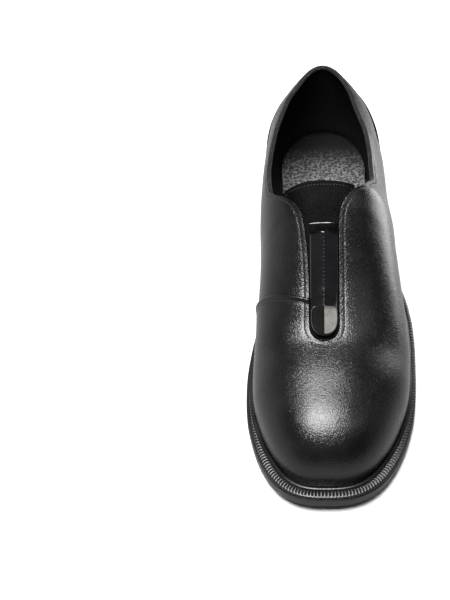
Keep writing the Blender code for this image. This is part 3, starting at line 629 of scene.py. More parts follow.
def moulded_rubber(name, dark, light, gloss):
    material, tree, where = new_material(name, IOR=1.5)
    skin = place(tree, GRIT, Vector=where, Scale=2600.0)
    slow = place(tree, MOTTLE, Vector=where, Scale=50.0)
    rough = maths(tree, "ADD", ranged(tree, slow["Mask"], 0.0, 1.0, gloss, gloss + 0.08, "LINEAR"),
                  times(tree, skin["Sparkle"], 0.08))
    return dress(material, tones(tree, slow["Mask"], dark, light), rough, bump(tree, skin["Height"], 0.00004))


def polished_metal(name, dark, light, gloss):
    material, tree, where = new_material(name, Metallic=1.0)
    slow = place(tree, MOTTLE, Vector=where, Scale=260.0)
    return dress(material, tones(tree, slow["Mask"], dark, light),
                 ranged(tree, slow["Fine"], 0.3, 0.7, gloss, gloss + 0.07), bump(tree, slow["Fine"], 0.00001))


def waxed_thread(name, dark, light):
    material, tree, where = new_material(name, IOR=1.5, Specular_IOR_Level=0.25)
    wave = node(tree, "TexWave", {"Vector": where, "Scale": 900.0, "Distortion": 2.0, "Detail": 1.0})
    twist = wave.outputs["Fac"]
    return dress(material, tones(tree, twist, dark, light), ranged(tree, twist, 0.0, 1.0, 0.5, 0.65),
                 bump(tree, twist, 0.00005))


PATENT = patent_leather("black_patent_leather", (0.004, 0.004, 0.0045))
LINING = suede("dark_lining", (0.0015, 0.0015, 0.0015), (0.004, 0.004, 0.004), 0.0)
# The binding's light specks are partly the nap's own tone, partly painted sheen.
BINDING = suede("dark_suede_binding", (0.003, 0.003, 0.003), (0.12, 0.12, 0.122), 0.08)
SOCK = sock_cloth("grey_sock_cloth")
RUBBER = moulded_rubber("black_sole_rubber", (0.003, 0.003, 0.0033), (0.006, 0.006, 0.0064), 0.33)
WELT_RUBBER = moulded_rubber("black_welt_rubber", (0.002, 0.002, 0.002), (0.005, 0.005, 0.005), 0.28)
GUNMETAL = polished_metal("gunmetal", (0.16, 0.155, 0.145), (0.20, 0.194, 0.182), 0.06)
BLACK_METAL = polished_metal("black_metal", (0.07, 0.068, 0.066), (0.10, 0.098, 0.094), 0.05)
BRIGHT = polished_metal("bright_rim", (0.30, 0.29, 0.28), (0.42, 0.41, 0.39), 0.26)
THREAD = waxed_thread("dark_grey_thread", (0.008, 0.008, 0.008), (0.04, 0.04, 0.04))
DARK_THREAD = waxed_thread("black_thread", (0.002, 0.002, 0.002), (0.008, 0.008, 0.008))
print(len(bpy.data.materials), "materials")

# %% [markdown]
# ## The upper
#
# Vamp and quarters are one hollow form with an edge that runs from the slot round the collar
# and back. On the real shoe that edge is folded over and stitched down, which makes it thicker
# and rounder than a cut edge. The grid is therefore finer near the edge, and the distance from
# the edge line sinks a fine valley for its stitches. On the inner side the vamp ends in
# another folded edge, laid over the quarter: columns of the grid follow that seam. Where the
# shoe bends, ahead of the slot, lie a soft trough and then a broad low ridge.

# %% Edge line of the upper


def down_to_heel(start, count):
    """Stations from a start to the heel's end, closer together where the heel rounds."""
    return np.concatenate([np.linspace(start, HEEL_END + HEEL_ROUND, count),
                           HEEL_END + HEEL_ROUND * (1 - np.sin(np.linspace(0, math.pi / 2, 120)))[1:]])


def edge_line(spacing=0.0004):
    """The folded edge, from the bottom of the slot round the collar and back to it."""
    slot = LENGTH - SLOT_END
    turn = slot - SLOT_ROUND * (1 - np.cos(np.linspace(0, math.pi / 2, 60)))
    s = np.concatenate([turn, down_to_heel(turn[-1], 700)[1:]])
    medial, lateral = surface(-1, s, 1.0), surface(1, s, 1.0)
    line = np.concatenate([medial, lateral[::-1]])
    run = run_along(line)
    return read_line(np.linspace(0, run[-1], int(round(run[-1] / spacing)) + 1), run, line)


EDGE = edge_line()
print("Folded edge:", round(run_along(EDGE)[-1] * 1000), "mm long")

# %% Stations and seam


def upper_stations(fine):
    """Stations of the upper, closer together at the heel, the throat, the slot and the toe."""
    slot = LENGTH - SLOT_END
    quarter = np.linspace(0, math.pi / 2, 9)
    heel = HEEL_END + HEEL_ROUND * (1 - np.cos(quarter[:8]))
    toe = TOE_END - TOE_BOX_ROUND * (1 - np.cos(quarter[::-1]))
    slot_end = slot - SLOT_ROUND * (1 - np.cos(quarter[::-2]))
    base = np.concatenate([heel, np.linspace(heel[-1], THROAT, 9)[1:], np.linspace(THROAT, INSTEP, 11)[1:],
                           np.linspace(INSTEP, slot_end[0], 7)[1:-1], slot_end,
                           np.linspace(slot, toe[0], 5)[1:-1], toe])
    return np.interp(np.linspace(0, len(base) - 1, fine * (len(base) - 1) + 1), np.arange(len(base)), base)


def raked(s, share):
    """Leans the medial stations so that one of them follows the seam."""
    away = np.clip(np.abs(s - LENGTH + SEAM_STATION) / SEAM_REACH, 0, 1)
    return s - SEAM_RAKE * (1 - share) * (1 + np.cos(math.pi * away)) / 2


def seam_profile(ahead):
    """Height of the vamp's rounded fold over the quarter behind it."""
    step = np.sqrt(np.clip(1 - (1 - np.clip(ahead / 0.0008, 0, 1)) ** 2, 0, 1))
    fold = 0.0006 * hump(ahead - 0.0011, 0.0009)
    return np.where(ahead < 0, 0.0, step * (SEAM_LIFT * (1 - smooth(ahead / SEAM_FADE)) + fold))


SEAM_STEPS = 0.001 * np.array([
    -1.6, -0.9, -0.4, -0.1, 0.0, 0.1, 0.3, 0.55, 0.8, 1.1, 1.4, 1.7, 2.1, 2.6, 3.3])

# %% Build the upper


def upper_grid(fine=6, rows=62):
    stations = upper_stations(fine)
    seam = LENGTH - SEAM_STATION
    far = stations[(stations < seam + SEAM_STEPS[0] - 0.0006) | (stations > seam + SEAM_STEPS[-1] + 0.0006)]
    medial = np.sort(np.concatenate([far, seam + SEAM_STEPS]))
    s = np.concatenate([medial[::-1], stations[1:]])[:, None]
    side = np.concatenate([-np.ones(len(medial)), np.ones(len(stations) - 1)])
    share = np.concatenate([np.linspace(0, 0.95, rows - 11), np.linspace(0.95, 1, 13)[1:]])[None, :]
    points = np.empty((len(s), share.shape[1], 3))
    for hand in (-1, 1):
        mine = side == hand
        along = s[mine] + 0 * share if hand > 0 else raked(s[mine], share)
        points[mine] = surface(hand, along, share + 0 * s[mine])
    ahead = np.where(side[:, None] < 0, s - seam, 1.0) + 0 * share
    return points, ahead, share


TROUGH_AT, TROUGH_REACH, TROUGH_DEPTH = 0.184, 0.0105, 0.0007  # where the vamp bends, from the heel
CROWN_AT, CROWN_REACH, CROWN_RISE = 0.211, 0.026, 0.0018  # soft ridge over the toes
FLEX_HALF_WIDTH = 0.046
STITCHES_IN, VALLEY_REACH = 0.0026, 0.0006  # from the folded edge to its row of stitches
LEATHER_WALL = 0.0012


def build_upper():
    points, ahead, share = upper_grid()
    valley = -0.00014 * hump(distance_to(EDGE, points) - STITCHES_IN, VALLEY_REACH)
    seam = np.where(ahead < 0.5, seam_profile(ahead), 0.0) * smooth(share / 0.15)
    seam_valley = -0.00015 * hump(ahead - 0.0030, VALLEY_REACH)
    station = LENGTH / 2 - points[..., 1]
    crown = CROWN_RISE * hump(station - CROWN_AT, CROWN_REACH)
    trough = TROUGH_DEPTH * hump(station - TROUGH_AT, TROUGH_REACH)
    flex = (crown - trough) * hump(points[..., 0], FLEX_HALF_WIDTH)
    sheet = Sheet(points, relief=valley + seam + seam_valley + flex).swell("relief")
    return finish_piece("upper_leather", sheet.mesh, [LEATHER, LINING], thickness=LEATHER_WALL,
                        bevel=0.00045, inner=1)


upper = build_upper()
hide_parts("upper")

# %% [markdown]
# ## Lining and collar binding
#
# Inside the leather lies a thin lining. At the collar it is turned over as a soft suede roll,
# which shows from above as a matt dark band all round the opening. The lining is a second
# sheet one leather's thickness further in. The roll is a ring of small circles swept along
# the collar line, thinned to nothing where it ends at the throat.

# %% Build the lining


def inset_grid(points, depth):
    """The grid moved inwards along its own normals."""
    n = np.cross(np.gradient(points, axis=0), np.gradient(points, axis=1))
    n /= np.maximum(np.linalg.norm(n, axis=-1, keepdims=True), 1e-12)
    if ((points - points.mean(axis=(0, 1))) * n).sum() < 0:
        n = -n
    return points - n * depth


def build_lining():
    points = upper_grid(fine=3, rows=30)[0]
    sheet = Sheet(inset_grid(points[3:-3], LEATHER_WALL + 0.00005)[:, 1:])
    return finish_piece("lining", sheet.mesh, [LINING], thickness=0.0006, bevel=0.0002)


lining = build_lining()

# %% Build the collar binding


BINDING_START, BINDING_IN, BINDING_DOWN = 0.405 * LENGTH, 0.0014, 0.0004


def collar_line(spacing=0.0008):
    """The collar's edge from throat to throat round the heel, and its upward directions."""
    s = down_to_heel(BINDING_START, 300)
    line = []
    for side, at in ((-1, s), (1, s[::-1])):
        edge, below = surface(side, at, 1.0), surface(side, at, 0.97)
        line.append(np.concatenate([edge, unit(edge - below)], axis=1))
    both = np.concatenate([line[0], line[1][1:]])
    run = run_along(both[:, :3])
    even = read_line(np.linspace(0, run[-1], int(run[-1] / spacing)), run, both)
    return even[:, :3], even[:, 3:]


def build_binding(radius=0.00125, sides=14):
    """A slightly uneven roll just inside the collar, thinned at its two ends."""
    centre, up = collar_line()
    along = unit(np.gradient(centre, axis=0))
    up = unit(up - along * (up * along).sum(axis=1, keepdims=True))
    inward = np.cross(up, along)
    inward *= np.sign(-(inward * centre * (1, 1, 0)).sum(axis=1, keepdims=True))
    step = np.arange(len(centre))
    taper = np.minimum(1, np.minimum(step, step[::-1]) / 14) ** 0.5
    ripple = 1 + 0.07 * np.sin(step * 1.9) * np.sin(step * 0.37)
    size = (radius * taper * ripple)[:, None, None]
    a = np.linspace(0, 2 * math.pi, sides + 1)[None, :, None]
    middle = (centre + inward * BINDING_IN - up * BINDING_DOWN)[:, None, :]
    ring = middle + size * (np.cos(a) * inward[:, None, :] + 1.15 * np.sin(a) * up[:, None, :])
    return finish_piece("collar_binding", Sheet(ring).mesh, [BINDING])


binding = build_binding()

# %% [markdown]
# ## Patent heel overlay
#
# The overlay is a thin sheet of patent leather cut to a low curve and laid on the upper's own
# surface. Its gloss comes from a clear coat over a nearly black base.

# %% Build the heel overlay


def build_heel_patent():
    reach = np.sin(np.linspace(0, math.pi / 2, 80)) ** 1.4
    stations = HEEL_END + (COUNTER_LENGTH - HEEL_END) * (1 - reach[::-1])
    s = np.concatenate([stations[::-1], stations[1:]])
    side = np.concatenate([-np.ones(len(stations)), np.ones(len(stations) - 1)])
    rows = 34
    low = sole_top(s) + WELT_THICKNESS + WELT_LIP + 3 * CLEARANCE
    high = np.maximum(COUNTER_HEIGHT * curve(COUNTER_TABLE, 1, s / COUNTER_LENGTH), low + 0.001)
    points = np.empty((len(s), rows + 1, 3))
    for v in range(rows + 1):
        z = low + (high - low) * v / rows
        for hand in (-1, 1):
            mine = side == hand
            points[mine, v] = at_height(hand, s[mine], z[mine])
    sheet = Sheet(points).swell(0.0005)
    return finish_piece("heel_patent", sheet.mesh, [PATENT], thickness=0.0009, offset=1.0, bevel=0.00035)


heel_patent = build_heel_patent()
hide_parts("heel_counter")

# %% [markdown]
# ## Tongue and strap
#
# The tongue is a single sheet that lies under the slot and shows its free end behind the
# throat. The strap lies in the slot: two narrow facets that fall away from a stitched middle
# seam. Both are patches of the instep's own surface, so they curve with it.

# %% Patches over the instep


def crest_grid(start, end, half, columns, rows, shift=0.0):
    """Grid over the instep between two distances from the toe; half gives its half width."""
    u = np.linspace(0, 1, columns + 1)[:, None]
    across = np.linspace(-1, 1, rows + 1)[None, :]
    s = LENGTH - (start + (end - start) * u) + 0 * across
    x = half(u) * across - shift * smooth(u / 0.8)
    return over_crest(x, s), u + 0 * across, across + 0 * u


def facing_up(sheet):
    if sum(face.normal.z for face in sheet.mesh.faces) < 0:
        bmesh.ops.reverse_faces(sheet.mesh, faces=sheet.mesh.faces)
        sheet.mesh.normal_update()
    return sheet


def strap_half():
    return BALL_WIDTH * COLLAR_TABLE[-1, 3] - STRAP_EASE


# %% Build the tongue

TONGUE_STITCHES_IN = 0.0022


def tongue_half(u):
    return (TONGUE_FRONT_WIDTH + (TONGUE_WIDTH - TONGUE_FRONT_WIDTH) * smooth(u / 0.6)) / 2


def build_tongue():
    points, u, across = crest_grid(TONGUE_START, TONGUE_END, tongue_half, 120, 56, TONGUE_SHIFT)
    points[..., 1] -= 0.0008 * across ** 2 * smooth((u - 0.8) / 0.2)
    half = tongue_half(u)
    edge = np.minimum((1 - u) * (TONGUE_END - TONGUE_START), (1 - np.abs(across)) * half)
    roll = 0.0003 * (1 - smooth((edge - 0.0008) / 0.001))
    relief = roll - 0.00015 * hump(edge - TONGUE_STITCHES_IN, VALLEY_REACH)
    sheet = facing_up(Sheet(points, relief=relief)).swell("relief").swell(-(WALL + 2 * CLEARANCE))
    return finish_piece("tongue_leather", sheet.mesh, [TONGUE_LEATHER], thickness=TONGUE_THICKNESS,
                        bevel=0.0005)


tongue = build_tongue()
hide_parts("tongue")

# %% Build the strap

STRAP_ENDS = (TIP_START + TIP_LENGTH - 0.002, BAR_STATION + 0.001)
STRAP_RIDGE = 0.0012  # above the strap's mean level; its edges lie 0.0005 below that level


def strap_relief(across):
    """Two facets that fall from the middle, and edges that turn down."""
    x = np.abs(across) * strap_half()
    roof = STRAP_RIDGE - (STRAP_RIDGE + 0.0005) * np.abs(across)
    return roof - 0.0004 * hump(x - strap_half(), 0.0006)


def build_strap():
    points, _, across = crest_grid(*STRAP_ENDS, lambda u: strap_half() + 0 * u, 60, 48)
    sheet = facing_up(Sheet(points, relief=STRAP_PROUD + strap_relief(across))).swell("relief")
    return finish_piece("strap_patent", sheet.mesh, [PATENT], thickness=0.0022, crease=14)


strap = build_strap()
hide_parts("strap")

# %% [markdown]
# ## Bar and tip
#
# A polished bar crosses the upper end of the strap, and the lower end is held by a D-shaped
# tip: a bright rim round a dark, shallow roof of two facets. The tip is a grid wound round
# the D, whose rows climb the wall, go over the rim and run up the facets to the ridge.

# %% Build the bar


def build_bar():
    half = strap_half() + STRAP_EASE - BAR_EASE
    points = crest_grid(BAR_STATION, BAR_STATION + BAR_LENGTH, lambda u: half + 0 * u, 16, 40)[0]
    sheet = facing_up(Sheet(points)).swell(BAR_PROUD)
    return finish_piece("strap_bar_metal", sheet.mesh, [BLACK_METAL], thickness=0.0030, bevel=0.0003)


bar = build_bar()
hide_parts("strap_bar")

# %% Build the tip


def instep_slope(s):
    near = over_crest(np.zeros(2), np.array([s - 0.002, s + 0.002]))
    return math.atan2(near[0][2] - near[1][2], near[0][1] - near[1][1])


TIP_RISE = STRAP_THICKNESS - STRAP_PROUD + TIP_HEIGHT
TIP_WALL = 0.64
TIP_LEAN = instep_slope(LENGTH - TIP_START - TIP_LENGTH / 2)


def tip_points(angle, share, height):
    """Points of the D at an angle, a share of its size, and a height over its base."""
    back = np.sin(angle) > 0
    power = np.where(back, 6.0, 2.2)
    size = (np.abs(np.cos(angle)) ** power + np.abs(np.sin(angle)) ** power) ** (-1 / power)
    x = strap_half() * TIP_SHARE * size * np.cos(angle) * share
    length = np.where(back, TIP_LENGTH * 0.45, TIP_LENGTH * 0.55)
    along = TIP_START + TIP_LENGTH * 0.55 + length * size * np.sin(angle) * share
    base = over_crest(0 * x, LENGTH - along)
    base[..., 0] = x
    lift = height - (STRAP_THICKNESS - STRAP_PROUD)
    return base + lift[..., None] * np.array([0.0, -math.sin(TIP_LEAN), math.cos(TIP_LEAN)])


def tip_roof(x):
    """Height of the two facets inside the rim, at a distance from the middle."""
    return TIP_RISE * (TIP_WALL - 0.03 + (1.0 - TIP_WALL) * (1 - np.abs(x) / (strap_half() * TIP_SHARE)))


def build_tip(turns=112):
    angle = np.linspace(0, 2 * math.pi, turns + 1)[:, None]
    wall = ((0.0, 0.0), (0.6, 0.0), (1.0, 0.0), (1.0, 0.3), (1.0, TIP_WALL - 0.06), (0.992, TIP_WALL - 0.02),
            (0.975, TIP_WALL), (0.958, TIP_WALL - 0.015), (0.948, TIP_WALL - 0.05))
    rows = [tip_points(angle[:, 0], share, 0 * angle[:, 0] + height * TIP_RISE) for share, height in wall]
    for share in np.linspace(0.94, 0.0, 13):
        flat = tip_points(angle[:, 0], share, 0 * angle[:, 0])
        rows.append(tip_points(angle[:, 0], share, tip_roof(flat[:, 0])))
    made = finish_piece("strap_tip_metal", Sheet(np.stack(rows, axis=1)).mesh, [GUNMETAL, BRIGHT], crease=20)
    rim = np.concatenate(rows[4:9]) - (MIDDLE, 0.0, 0.0)
    on_rim = distance_to(rim, np.array([vert.co for vert in made.data.vertices])) < 0.00002
    for face in made.data.polygons:
        face.material_index = int(all(on_rim[i] for i in face.vertices))
    return made


tip = build_tip()
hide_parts("strap_tip")

# %% [markdown]
# ## Welt and sole
#
# The welt is a rubber strip with a smooth raised lip against the upper and a row of short
# wheeled ribs outside it. Its grid runs round the whole shoe in even steps, six columns to a
# rib, and the profile's flat rows are lifted into one bead per rib. The sole unit below is one
# moulding with a rounded edge, a low heel and a shallow tread.

# %% Rings round the shoe


def even_rings(profile, count, guide):
    """Rings of points for (inset function, height) pairs, evenly spaced along one of them."""
    rings = []
    for inset, height in profile:
        s_out, x_out = outline(1, inset, 1500)
        s_in, x_in = outline(-1, inset, 1500)
        s = np.concatenate([s_out, s_in[-2::-1]])
        x = np.concatenate([x_out, -x_in[-2::-1]])
        rings.append(laid(x, s, sole_top(s) + height))
    run = run_along(rings[guide])
    own = np.arange(len(run))
    at = np.interp(np.linspace(0, run[-1], count + 1), run, own)
    return np.stack([read_line(at, own, ring) for ring in rings], axis=1)


# %% Build the welt

RIBS = 318
RIB_HEIGHT = 0.00055


def welt_profile():
    """Inset and height of each row of the welt, and how much of a rib it carries."""
    ease = 3 * CLEARANCE
    flat, lip = WELT_THICKNESS, WELT_THICKNESS + WELT_LIP
    edge = flat - WELT_FALL
    lip_out = -ease - WELT_LIP_WIDTH
    rows = [(0.0, WELT_STEP, 0.0, 0), (0.0, WELT_STEP, 0.0005, 0), (0.0, 0.0003, 0.0008, 0),
            (0.0, 0.0001, 0.0011, 0), (0.0, 0.0001, edge - 0.0006, 0), (0.0, 0.0003, edge - 0.0002, 0),
            (0.0, 0.0007, edge, 0)]
    ribbed = ((0.10, 0.4), (0.22, 0.9), (0.38, 1.0), (0.55, 1.0), (0.72, 1.0), (0.86, 0.8), (0.95, 0.25))
    for t, rib in ribbed:
        rows.append((t, 0.0007 * (1 - t) + lip_out * t, edge + (flat - edge) * t, rib))
    rows += [(1.0, lip_out, flat - 0.0002, 0), (1.0, lip_out + 0.0003, flat + 0.0003, 0),
             (1.0, lip_out + 0.0008, lip - 0.0001, 0), (1.0, lip_out + 0.0014, lip, 0),
             (1.0, -ease - 0.0003, lip - 0.0001, 0), (1.0, -ease, flat, 0), (1.0, WALL, flat, 0),
             (1.0, WALL, 0.0, 0), (0.0, WELT_STEP, 0.0, 0)]
    return rows


def build_welt(steps=6):
    rows = welt_profile()
    profile = [(lambda at, share=share, length=length: share * welt_inset(at) + length, CLEARANCE + height)
               for share, length, height, _ in rows]
    points = even_rings(profile, RIBS * steps, 4)
    bead = np.sin(math.pi * (np.arange(RIBS * steps + 1) % steps / steps)) ** 0.7
    points[..., 2] += RIB_HEIGHT * (bead[:, None] - 0.35) * np.array([row[3] for row in rows])[None, :]
    return finish_piece("welt_ribbed", Sheet(points).mesh, [WELT_RUBBER])


welt = build_welt()
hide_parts("welt")

# %% Build the sole unit


def heel_taper(s):
    return HEEL_TAPER * (1 - smooth((s / LENGTH - 0.27) / 0.12))


def tread(s, across):
    """Depth of the tread: cross grooves under the ball and the heel, none at the waist."""
    grooves = smooth((np.sin(2 * math.pi * s / 0.0062 + 3.0 * across ** 2) - 0.35) / 0.4)
    inside = 1 - smooth((np.abs(across) - 0.74) / 0.08)
    ball = smooth((s - 0.145) / 0.004) * (1 - smooth((s - 0.240) / 0.004))
    heel = smooth((s - 0.014) / 0.004) * (1 - smooth((s - 0.060) / 0.004))
    return 0.0009 * grooves * inside * (ball + heel)


SOLE_ROWS = (
    # share of the heel's taper, inset as a share of the rounding, height, lift like the inset
    (1.0, 1.0, 0.0, 0.0), (1.0, 0.62, 0.0, 0.06), (1.0, 0.29, 0.0, 0.29), (1.0, 0.08, 0.0, 0.62),
    (0.95, 0.0, 0.0, 1.0), (0.8, 0.0, 0.15, 0.85), (0.6, 0.0, 0.35, 0.5), (0.35, 0.0, 0.6, 0.2),
    (0.15, 0.0, 0.8, 0.0), (0.03, 0.0, 1.0, -0.55), (0.0, 0.05, 1.0, -0.28), (0.0, 0.16, 1.0, -0.10),
    (0.0, 0.34, 1.0, 0.0),
)


def build_sole(count=380):
    loops = []
    for side in (1, -1):
        half = []
        for taper, edge, height, extra in SOLE_ROWS:
            s, x = outline(side, lambda at: taper * heel_taper(at) + edge * SOLE_EDGE, count)
            low, high = sole_under(s), sole_top(s)
            half.append(laid(x * side, s, low + (high - low) * height + extra * SOLE_EDGE))
        loops += half if side > 0 else half[::-1]
    start, end = loops[-1], loops[0]
    for t in np.linspace(0, 1, 41)[1:]:
        row = start * (1 - t) + end * t
        row[:, 2] += tread(LENGTH / 2 - row[:, 1], np.full(count, 2 * t - 1))
        loops.append(row)
    return finish_piece("sole_unit", Sheet(np.stack(loops, axis=1)).mesh, [RUBBER])


sole = build_sole()
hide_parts("outsole")

# %% Build the sock lining


def build_sock(count=200):
    def edge_row(side, ease, height):
        s, x = outline(side, lambda at: welt_inset(at) + WALL + INSOLE_EASE + ease, count)
        return laid(x * side, s, sole_top(s) + CLEARANCE + height)

    top = WELT_THICKNESS + INSOLE_THICKNESS
    loops = [edge_row(1, 0, 0.0), edge_row(1, 0, top - 0.0008), edge_row(1, 0.0003, top - 0.0002)]
    out, back = edge_row(1, 0.0010, top), edge_row(-1, 0.0010, top)
    for t in np.linspace(0, 1, 31):
        row = out * (1 - t) + back * t
        row[:, 2] -= 0.0010 * (1 - np.abs(2 * t - 1) ** 4)
        loops.append(row)
    loops += [edge_row(-1, 0.0003, top - 0.0002), edge_row(-1, 0, top - 0.0008), edge_row(-1, 0, 0.0),
              edge_row(1, 0, 0.0)]
    return finish_piece("sock_lining", Sheet(np.stack(loops, axis=1)).mesh, [SOCK])


sock = build_sock()
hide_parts("insole")

# %% [markdown]
# ## Stitching
#
# A lockstitch shows as a row of short, slightly sunk threads. One low ball is made, stretched
# and turned for each stitch, and a whole row becomes one mesh, which keeps the scene light.

# %% Stitch rows


def stitch_row(name, points, normals, pitch, length, width, material, sink=0.25):
    """One mesh of stretched balls along a line, each lying along it and facing out."""
    run = run_along(points)
    count = int(run[-1] / pitch)
    mesh = bmesh.new()
    for at in (np.arange(count) + 0.5) * run[-1] / count:
        here, ahead, behind = (Vector(read_line(at + step, run, points))
                               for step in (0, pitch / 3, -pitch / 3))
        up = Vector(read_line(at, run, normals)).normalized()
        along = (ahead - behind).normalized()
        aside = up.cross(along).normalized()
        turn = Matrix((along, aside, along.cross(aside))).transposed().to_4x4()
        size = Matrix.Diagonal((length / 2, width / 2, width / 2.6, 1))
        place_at = Matrix.Translation(here - up * width * sink)
        bmesh.ops.create_uvsphere(mesh, u_segments=8, v_segments=5, radius=1.0, matrix=place_at @ turn @ size)
    bmesh.ops.recalc_face_normals(mesh, faces=mesh.faces)
    made = finish_piece(name, mesh, [material])
    print(count, "stitches")
    return made


def line_on_upper(side, stations, inset):
    """A line on the upper at a distance in from its folded edge, with outward normals."""
    points, normals = [], []
    for s in stations:
        shares = np.linspace(1, 0.90, 12)
        strip = surface(side, s, shares)
        share = np.interp(inset, run_along(strip), shares)
        near = surface(side, s + 0.001 * np.array([0, -1, 1, 0]), share - 0.01 * np.array([0, 0, 0, 1]))
        n = unit(np.cross(near[1] - near[2], near[3] - near[0]))
        if n[2] < 0 and side * n[0] < 0 or (abs(n[0]) > 0.3 and side * n[0] < 0):
            n = -n
        points.append(near[0])
        normals.append(n)
    return np.array(points), np.array(normals)


def edge_rows(inset):
    """Along both sides of the slot and the throat, as one line round the slot's end."""
    slot = LENGTH - SLOT_END
    stations = np.concatenate([slot - SLOT_ROUND * (1 - np.cos(np.linspace(0.5, math.pi / 2, 14))),
                               np.linspace(slot - SLOT_ROUND, 0.30 * LENGTH, 130)[1:]])
    both = zip(line_on_upper(-1, stations, inset), line_on_upper(1, stations, inset))
    return [np.concatenate([medial[::-1], lateral]) for medial, lateral in both]


edge_stitches = stitch_row("edge_stitches", *edge_rows(STITCHES_IN), pitch=0.0018, length=0.0011,
                           width=0.0007, material=THREAD, sink=0.0)

# %% Seam, tongue, strap and sock rows


def seam_row():
    """Along the vamp side of the folded seam, from the welt up to the slot."""
    share = np.linspace(0.10, 0.985, 70)
    ahead = 0.0034
    s = np.full(70, LENGTH - SEAM_STATION + ahead)
    points = surface(-1, raked(s, share), share)
    near = surface(-1, raked(s + 0.001, share), share)
    above = surface(-1, raked(s, share - 0.01), share - 0.01)
    n = unit(np.cross(near - points, above - points))
    n *= np.where(n[:, :1] > 0.2, -1, 1) * np.where(np.abs(n[:, :1]) <= 0.2, np.sign(n[:, 2:]), 1)
    lift = SEAM_LIFT * (1 - smooth(ahead / SEAM_FADE)) * smooth(share / 0.15)[:, None]
    return points + n * lift, n


def over_instep(x, s, lift):
    """A line over the instep at given sides and stations, lifted along its normal."""
    points = over_crest(x, s)
    across = over_crest(x + 0.001, s) - over_crest(x - 0.001, s)
    along = over_crest(x, s + 0.001) - over_crest(x, s - 0.001)
    n = unit(np.cross(across, along))
    n *= np.sign(n[:, 2:])
    return points + n * lift, n


def tongue_row(inset=TONGUE_STITCHES_IN):
    u = np.linspace(0.55, 1, 60)
    end = LENGTH - TONGUE_END + inset
    s = np.maximum(LENGTH - (TONGUE_START + (TONGUE_END - TONGUE_START) * u), end)
    side = tongue_half(u) - inset
    shift = TONGUE_SHIFT * smooth(u / 0.8)
    top = np.linspace(1, -1, 60)[1:-1]
    x = np.concatenate([side - shift, top * side[-1] - shift[-1], (-side - shift)[::-1]])
    s = np.concatenate([s, np.full(58, end), s[::-1]])
    return over_instep(x, s, -(WALL + 2 * CLEARANCE))


def strap_row():
    s = LENGTH - np.linspace(STRAP_ENDS[0] + 0.003, STRAP_ENDS[1] - 0.002, 60)
    return over_instep(0 * s, s, STRAP_PROUD + STRAP_RIDGE)


def sock_rows(inset=0.0050):
    """A coarse row along each side of the sock, from the throat to the heel."""
    rows = {}
    height = WELT_THICKNESS + INSOLE_THICKNESS + CLEARANCE - 0.0004
    for side in (-1, 1):
        s, x = outline(side, lambda at: welt_inset(at) + WALL + INSOLE_EASE + inset, 300)
        keep = (s > 0.055) & (s < 0.135)
        rows[side] = laid(x * side, s, sole_top(s) + height)[keep]
    return rows


seam_stitches = stitch_row("seam_stitches", *seam_row(), pitch=0.0018, length=0.0012, width=0.00055,
                           material=THREAD, sink=0.1)
tongue_stitches = stitch_row("tongue_stitches", *tongue_row(), pitch=0.0018, length=0.0012, width=0.0005,
                             material=THREAD, sink=0.1)
strap_stitches = stitch_row("strap_stitches", *strap_row(), pitch=0.0021, length=0.0010, width=0.0006,
                            material=THREAD, sink=0.0)
for side, line in sock_rows().items():
    name = "sock_stitches_" + ("outer" if side > 0 else "inner")
    row = stitch_row(name, line, np.tile((0.0, 0.0, 1.0), (len(line), 1)), pitch=0.0030, length=0.0024,
                     width=0.0024, material=DARK_THREAD, sink=0.1)

# %% [markdown]
# ## Studio
#
# The photograph was made on a white table under large soft lights. A big plane stands in for
# the table; only the camera sees it white, so that it doesn't brighten the leather too much.
# Wide area lights give the long soft reflections that show the leather's form.

# %% Floor and lights


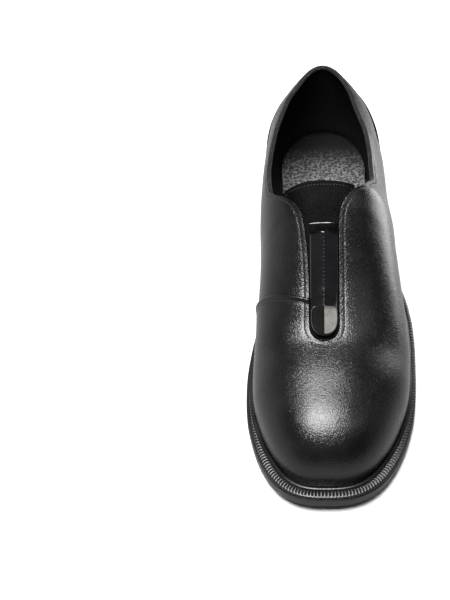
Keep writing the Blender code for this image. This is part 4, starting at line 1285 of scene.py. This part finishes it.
def build_floor():
    mesh = bmesh.new()
    bmesh.ops.create_grid(mesh, x_segments=8, y_segments=8, size=1.1)
    data = bpy.data.meshes.new("floor")
    mesh.to_mesh(data)
    mesh.free()
    material, tree, where = new_material("white_table", Roughness=0.6, Specular_IOR_Level=0.2)
    slow = place(tree, MOTTLE, Vector=where, Scale=3.0)
    white = tones(tree, slow["Mask"], (0.84, 0.85, 0.87), (0.87, 0.88, 0.89))
    direct = node(tree, "LightPath").outputs["Is Camera Ray"]
    seen = node(tree, "Mix", {0: direct, 6: (0.30, 0.30, 0.31, 1.0), 7: white}, data_type="RGBA")
    tree.links.new(seen.outputs[2], tree.nodes["Principled BSDF"].inputs["Base Color"])
    data.materials.append(material)
    made = bpy.data.objects.new("floor", data)
    bpy.context.scene.collection.objects.link(made)


def soft_light(name, place_at, size, power, aim=(0.0, 0.0, 0.04)):
    light = bpy.data.lights.new(name, "AREA")
    light.shape = "RECTANGLE"
    light.size, light.size_y = size
    light.energy = power
    made = bpy.data.objects.new(name, light)
    made.location = place_at
    made.rotation_euler = (Vector(aim) - Vector(place_at)).to_track_quat("-Z", "Y").to_euler()
    made.visible_camera = False
    bpy.context.scene.collection.objects.link(made)


build_floor()
soft_light("overhead", (-0.155, -0.13, 1.15), (0.60, 0.84), 37.0, aim=(-0.155, -0.13, 0.0))
soft_light("right_card", (0.76, -0.16, 1.08), (0.36, 0.36), 0.80)
soft_light("right_box", (0.155, 0.116, 0.057), (0.172, 0.112), 0.33, aim=(0.0, 0.116, 0.057))

# %% World


def build_world():
    """A pale studio: bright near the horizon, where the white walls stand, and dark above."""
    world = bpy.data.worlds.new("studio")
    bpy.context.scene.world = world
    world.use_nodes = True
    tree = world.node_tree
    sky = tree.nodes["Background"]
    sky.inputs["Color"].default_value = (0.97, 0.98, 1.0, 1.0)
    parts = node(tree, "SeparateXYZ", {0: node(tree, "TexCoord").outputs["Generated"]}).outputs
    near = ranged(tree, parts["Z"], 0.06, 0.50, 0.78, 0.10)
    far = ranged(tree, parts["Z"], 0.5, 0.95, 0.0, 0.05)
    front = ranged(tree, parts["Y"], -0.9, -0.2, 0.22, 1.0)
    aside = ranged(tree, parts["X"], 0.2, 0.8, 1.0, 0.22)
    level = times(tree, maths(tree, "SUBTRACT", near, far), front)
    tree.links.new(times(tree, level, aside), sky.inputs["Strength"])
    seen = node(tree, "Background", {"Color": (1.0, 1.0, 1.0, 1.0), "Strength": 1.0})
    direct = node(tree, "LightPath").outputs["Is Camera Ray"]
    mix = node(tree, "MixShader", {0: direct, 1: sky.outputs[0], 2: seen.outputs[0]})
    tree.links.new(mix.outputs[0], tree.nodes["World Output"].inputs["Surface"])


build_world()
bpy.context.scene.view_settings.view_transform = "Standard"
